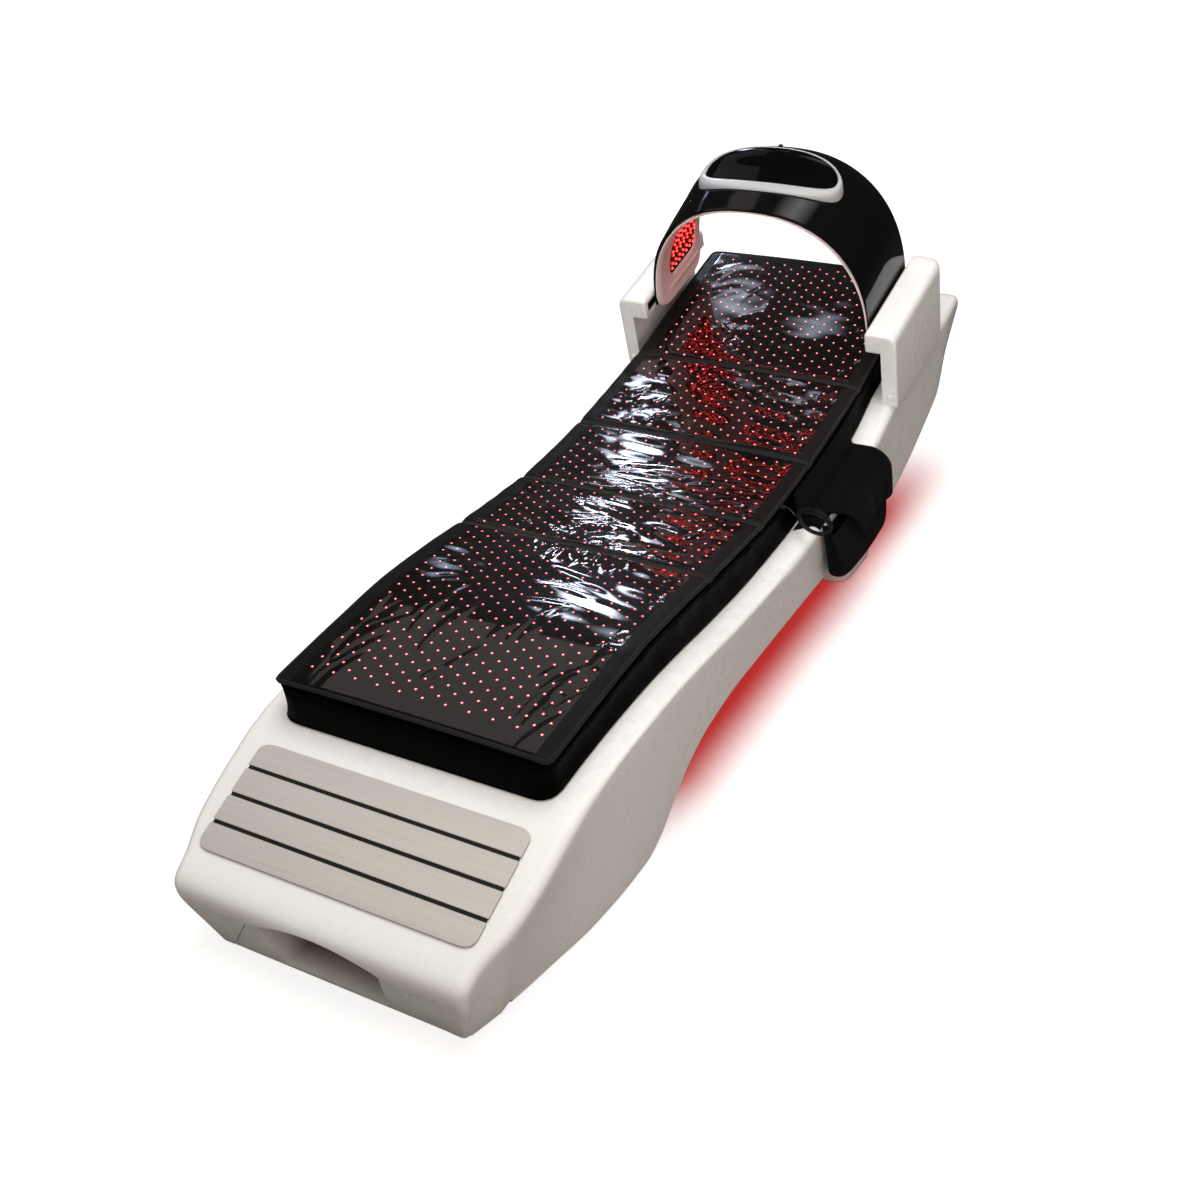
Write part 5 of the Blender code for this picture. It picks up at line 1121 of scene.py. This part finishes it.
def make_console():
    """Bezel: a rounded band between two bean outlines on the dome's brow; the glass bulges inside it. A turned
    stud stands behind them."""
    turn = full_turn(200)
    turn = turn - 0.115 * np.sin(4 * turn)
    share = np.array((0.0, 0.004, 0.02, 0.06, 0.13, 0.24, 0.40, 0.58, 0.76, 0.90, 0.97, 1.0, 1.0))
    lift = np.array((0.0, 0.30, 0.55, 0.75, 0.90, 1.0, 1.04, 1.02, 0.97, 0.88, 0.80, 0.70, 0.0))
    x, u = bean(turn[:, None], share)
    face = dome_height(x, u) + np.maximum(0.0012, lift * (0.006 + end_rise(x)))
    skinned("bezel_ring", on_head(np.stack([x, u, face], -1)), BEZEL, "dome", ["console_bezel"], "silver_bezel", 70,
            around=True, loop=True)
    reach = np.r_[1.0, 1.0, 0.99, np.linspace(0.97, 0.01, 30)][:, None]
    lift = np.r_[0.0030, 0.0046, 0.0052, np.full(30, 0.0052)][:, None]
    ex, eu = bean(turn, 1.02)
    middle = 0.1440 - 0.0055 * (ex / 0.159)**2
    x, u = ex * reach, middle + (eu - middle) * reach
    face = dome_height(x, u) + lift + 0.75 * end_rise(x)
    skinned("glass_face", on_head(np.stack([x, u, face], -1)), GLASS, "dome", ["console_glass"], "console_glass", 60)
    base = float(dome_height(np.array(0.0), np.array(0.2005))) + 0.0006
    knob = turned([(0.006, 0.0), (0.006, 0.003), (0.0054, 0.0054), (0.0036, 0.0067), (0.0002, 0.007)],
                  lambda p, q, h: on_head(np.stack([p, 0.2065 + q, base + h], -1)))
    skinned("dome_stud", knob, BLACK, "dome", ["dome_gland"], "matt_black")


for side, hand in SIDES:
    make_armrest(side, hand)
make_dome()
make_liner()
make_boards()
make_console()


# Felt pouch over the rim

def felt_sheet(name, grid, stands_for, face, thickness):
    """Felt over a grid, given its thickness outwards."""
    felt = skinned(name, on_bed(grid), FELT, "bed", stands_for, "felt", 80, face=face)
    thick = felt.modifiers.new("thickness", "SOLIDIFY")
    thick.thickness, thick.offset = thickness, 1.0
    return felt


def make_flap():
    """Felt flap: ten control points at each station, from the mattress over the rim to the hem, blended
    by Catmull-Rom and folded a little more towards the hem."""
    k = np.arange(10)
    fronts = np.interp(k, (0, 4, 9), (1.270, 1.332, 1.432))
    share = np.linspace(0.0, 1.0, 44)[:, None]
    s = fronts + (1.606 - fronts) * share
    out = np.array((0, 0, 0.001, 0.008, -0.020, 0.004, 0.024, 0.040, 0.0445, 0.0475))
    drop = np.array((0.083, 0.045, 0.012, 0.0024, 0.0020, 0.0010, -0.008, -0.027, -0.055, 0.0))
    hem = 0.088 + 0.012 * share
    z = deck_face(s) + np.where(k == 9, -hem, drop)
    loose = np.maximum(0, k - 5) / 4
    fold = 0.004 * np.sin(2.5 * math.pi * share) + 0.0015 * np.sin(7 * math.pi * share + 0.6)
    x = np.where(k < 4, PAD_HALF + 2 * GAP, rim_half(s)) + out + fold * loose
    weights = between(10, 60)
    grid = np.dstack([x @ weights.T, s @ weights.T, z @ weights.T])
    flap = felt_sheet("felt_flap", grid, ["pouch_flap"], (1, 0, 1), 0.0025)


def make_tongue():
    """Felt lip under the cable's loops: level across the rim, then a part circle down its shoulder."""
    turn = np.radians(np.linspace(0.0, 60.0, 12))
    share = np.linspace(0.0, 1.0, 30)[:, None]
    front = np.r_[np.linspace(1.266, 1.293, 14), np.linspace(1.295, 1.302, 12)]
    s = front + (1.420 - front) * share
    half, lift, begin = rim_half(s) - SHOULDER, 0.0006, 0.2868
    x = np.concatenate([begin + (half[:, :14] - begin) * np.linspace(0.0, 0.97, 14),
                        half[:, 14:] + (SHOULDER + lift) * np.sin(turn)], 1)
    fall = np.r_[np.zeros(14), (SHOULDER + lift) * (1 - np.cos(turn))]
    grid = np.dstack([x, s, deck(s) + lift - fall])
    tongue = felt_sheet("felt_tongue", grid, [], (0, 0, 1), 0.0012)


def pocket_rings(depth, inset):
    """Rings of the pocket at shares of its depth: it swells below the mouth, draws in at the bottom and creases."""
    swell, close = np.sin(math.pi * depth * 0.8), np.maximum(0.0, depth - 0.75) / 0.25
    front = 1.285 + 0.050 * depth + 0.045 * close**2 + inset
    back = 1.630 - 0.010 * depth - 0.060 * close**1.5 - inset
    thick = 0.026 + 0.022 * swell - 0.006 * close - 2 * inset
    c, s = bent(np.cos(full_turn(96)), 0.6), bent(np.sin(full_turn(96)), 0.6)
    station = (front + back) / 2 + (back - front) / 2 * c
    crease = 0.0022 * np.sin(station * 88 + 2.5 * depth) * np.clip(s, 0, 1) * np.sin(math.pi * np.clip(depth, 0, 1))
    x = rim_half(station) + GAP + inset + thick / 2 * (1 + s) - np.abs(crease)
    top = deck_face(station) - 0.030 + 0.044 * bell(station, front, 0.020) - 0.25 * np.maximum(0.0, station - 1.45)
    bottom = float(deck_face(1.4575)) - 0.180 + inset
    return np.stack([x, station, top + (bottom - top) * depth], -1)


def make_pocket():
    """Felt pocket: outer rings from the bottom up, over the mouth, and inner rings down again."""
    depth = np.r_[1.0, 0.985, 0.96, 0.92, np.linspace(0.87, 0.02, 26), 0.0][:, None]
    rings = np.concatenate([pocket_rings(depth, 0.0), pocket_rings(depth[::-1], 0.0022)])
    pocket = skinned("felt_pocket", on_bed(rings), FELT, "bed", ["pouch_pocket"], "felt", 70)


make_flap()
make_tongue()
make_pocket()


# Small turned pieces and the finishes of the solids that stay

def make_small():
    """Turned glides under the front, and the cable's ribbed sleeve, a taper with a square wave cut in."""
    for side, hand in SIDES:
        for station, end in ((0.17, "front"), (0.45, "rear")):
            grid = turned([(0.0195, 0.0), (0.0212, 0.0006), (0.022, 0.0016), (0.022, 0.0037)],
                          lambda p, q, h: on_bed(np.stack([side * 0.235 + p, station + q, h], -1)))
            skinned("glide_%s_%s" % (end, hand), grid, GLIDE_RUBBER, "bed", ["floor_glide_%s_%s" % (end, hand)],
                    "glide_rubber")
    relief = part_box("mat_strain_relief")
    z, x = (relief[0].z + relief[1].z) / 2, relief[0].x
    steps, rib = np.linspace(0.0, 0.016, 33), 0.0032
    radius = 0.0046 - 0.0018 * smooth(0.003, 0.016, steps) - 0.0004 * (np.sin(steps * 2 * math.pi / rib) > 0.5)
    sleeve = turned(np.c_[radius, steps],
                    lambda p, q, h: np.stack([x + h, RELIEF_STATION + ORIGIN + p, z + q], -1), 24)
    skinned("cable_relief", sleeve, RUBBER, "bed", ["mat_strain_relief"], "matt_black")


make_small()
KEPT = {SHADED_PANEL: ["front_panel"], BLACK: ["foot_backing", "mains_inlet", "mat_controller"],
        ALUMINIUM: ["slide_rail_left", "slide_rail_right", "carriage_left", "carriage_right"],
        STEEL_PLATE: ["power_supply"],
        PAINT: ["led_driver", "frame_rail_left", "frame_rail_right", "frame_leg_left", "frame_leg_right",
                "deck_bearer_front", "deck_bearer_middle", "deck_bearer_rear"],
        GLOW: ["glow_strip_left", "glow_strip_right"]}
for finish, titles in KEPT.items():
    for title in titles:
        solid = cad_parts[title].data
        solid.materials.clear()
        solid.materials.append(finish)


# Floor and light

def make_floor():
    """Pale floor with a painted red glow: beside the tray under the bed its colour and its emission turn red, fading
    out past the rim.
    """
    mesh = bpy.data.meshes.new("floor")
    mesh.from_pydata([(-14, -14, 0), (14, -14, 0), (14, 14, 0), (-14, 14, 0)], [], [(0, 1, 2, 3)])
    floor = link("floor", mesh)
    material, tree, shader = start("pale_floor", Roughness=0.9, Specular_IOR_Level=0.0)
    place = object_place(tree)
    parts = axes(tree, place)
    share = 1.0
    # Mask of the painted red glow: 1 under the bed, fading out past the rim and towards both ends.
    for source, low, high in ((calc(tree, "ABSOLUTE", parts["X"]), 0.388, 0.245), (parts["Y"], -1.16, -0.90),
                              (parts["Y"], 0.78, 0.22)):
        fade = node(tree, "ShaderNodeMapRange", Value=source, From_Min=low, From_Max=high)
        fade.interpolation_type = "SMOOTHSTEP"
        share = calc(tree, "MULTIPLY", share, fade.outputs["Result"])
    seen = tree.nodes.new("ShaderNodeLightPath").outputs
    # Painted glow: red base colour under the mask, in place of the strips' light on the floor.
    lit = blend_colour(tree, share, (0.36, 0.345, 0.33), (0.20, 0.01, 0.01))
    away = tree.nodes.new("ShaderNodeVectorMath")
    away.operation = "DISTANCE"
    away.inputs[1].default_value = (0.0, -0.6, 0.0)
    tree.links.new(place, away.inputs[0])
    far = blend_colour(tree, spread(tree, away.outputs["Value"], 0.0, 1.0, 1.5, 3.2), (0.80, 0.80, 0.80),
                       (1.0, 1.0, 1.0))
    # Painted glow: red emission under the mask, seen by camera and transmission rays; in mirrors the floor is dark.
    fill(tree, shader, Base_Color=blend_colour(tree, seen["Is Glossy Ray"], lit, (0.07, 0.066, 0.062)),
         Emission_Color=blend_colour(tree, share, far, (0.40, 0.028, 0.026)),
         Emission_Strength=calc(tree, "MAXIMUM", seen["Is Camera Ray"], seen["Is Transmission Ray"]))
    mesh.materials.append(material)


def soften(data):
    """Let a lamp fade to its edges: a tent from 2 at the middle to 0 at each edge, across times along."""
    data.use_nodes = True
    tree = data.node_tree
    parts = axes(tree, tree.nodes.new("ShaderNodeNewGeometry").outputs["Parametric"])
    across, along = [spread(tree, calc(tree, "PINGPONG", parts[axis], 0.5), 0.0, 2.0, 0.0, 0.5) for axis in "XY"]
    fill(tree, tree.nodes["Emission"].inputs, Strength=calc(tree, "MULTIPLY", across, along))


def lamp(name, at, aim, size, watts, colour=(1.0, 1.0, 1.0), soft=False, mirrored=True, beam=180.0):
    """Rectangular lamp at a place, turned to face a point, that shines in a beam of so many degrees."""
    data = bpy.data.lights.new(name, "AREA")
    data.shape, data.size, data.size_y, data.energy, data.color = "RECTANGLE", size[0], size[1], watts, colour
    data.spread = math.radians(beam)
    if soft:
        soften(data)
    thing = link(name, data)
    thing.visible_glossy = mirrored
    back = unit(np.array(at, float) - np.array(aim, float))
    side = unit(np.cross((0.0, 1.0, 0.0) if abs(back[2]) > 0.99 else (0.0, 0.0, 1.0), back))
    turn = Matrix((tuple(side), tuple(np.cross(back, side)), tuple(back))).transposed().to_4x4()
    thing.matrix_world = Matrix.Translation(at) @ turn


def make_light():
    """Room light: white to the camera, dim in mirrors and warm elsewhere; lamps above and in front, and the
    small ones that the film mirrors."""
    world = bpy.data.worlds.new("studio")
    bpy.context.scene.world = world
    world.use_nodes = True
    tree = world.node_tree
    seen = tree.nodes.new("ShaderNodeLightPath").outputs
    lit = blend_colour(tree, seen["Is Glossy Ray"], (0.30, 0.27, 0.243), (0.02, 0.018, 0.016))
    sky = blend_colour(tree, seen["Is Camera Ray"], lit, (1.0, 1.0, 1.0))
    fill(tree, tree.nodes["Background"].inputs, Color=sky)
    blue = (0.76, 0.84, 1.0)
    lamp("overhead", (0.55, -1.0, 6.0), (0.1, -1.0, 0.3), (3.3, 4.1), 248.0, mirrored=False)
    lamp("fill", (3.0, -2.3, 1.9), (0.2, -0.3, 0.45), (2.0, 1.6), 24.5, (1.0, 0.89, 0.79), mirrored=False)
    lamp("front", (0.2, -3.9, 3.7), (0.1, 0.0, 0.7), (2.2, 1.2), 16.0, (1.0, 0.96, 0.92))
    lamp("head_light", (0.5, -2.6, 1.6), (0.1, 0.1, 0.65), (1.0, 0.7), 4.2, mirrored=False, beam=60.0)
    lamp("ceiling", (-1.85, 0.75, 3.1), (-1.85, 0.75, 0.0), (1.7, 1.25), 2.7, (1.0, 0.86, 0.85))
    lamp("window_calf", (-1.58, 2.13, 2.36), (0.05, -0.95, 0.4), (0.46, 0.34), 6.0, blue, soft=True)
    lamp("window_low", (-1.80, 2.35, 1.98), (0.05, -0.82, 0.4), (0.20, 0.14), 1.2, blue, soft=True)
    lamp("window_side", (-2.37, 1.79, 2.23), (-0.18, -1.02, 0.4), (0.26, 0.20), 0.16, (0.6, 0.75, 1.0), soft=True)
    lamp("window_mid", (-2.00, 2.27, 3.01), (-0.14, -0.25, 0.45), (0.36, 0.30), 2.0, blue, soft=True)
    lamp("window_head", (-1.75, 2.49, 3.44), (-0.14, 0.25, 0.55), (0.44, 0.40), 0.7, blue, soft=True)
    lamp("window_right", (-1.19, 2.37, 3.59), (0.09, 0.15, 0.55), (0.42, 0.22), 0.28, blue, soft=True)
    lamp("brow_light", (0.12, 1.08, 3.66), (0.1, 0.1, 0.86), (1.6, 1.0), 3.4, soft=True)


make_floor()
make_light()
scene = bpy.context.scene
scene.view_settings.view_transform = "Standard"
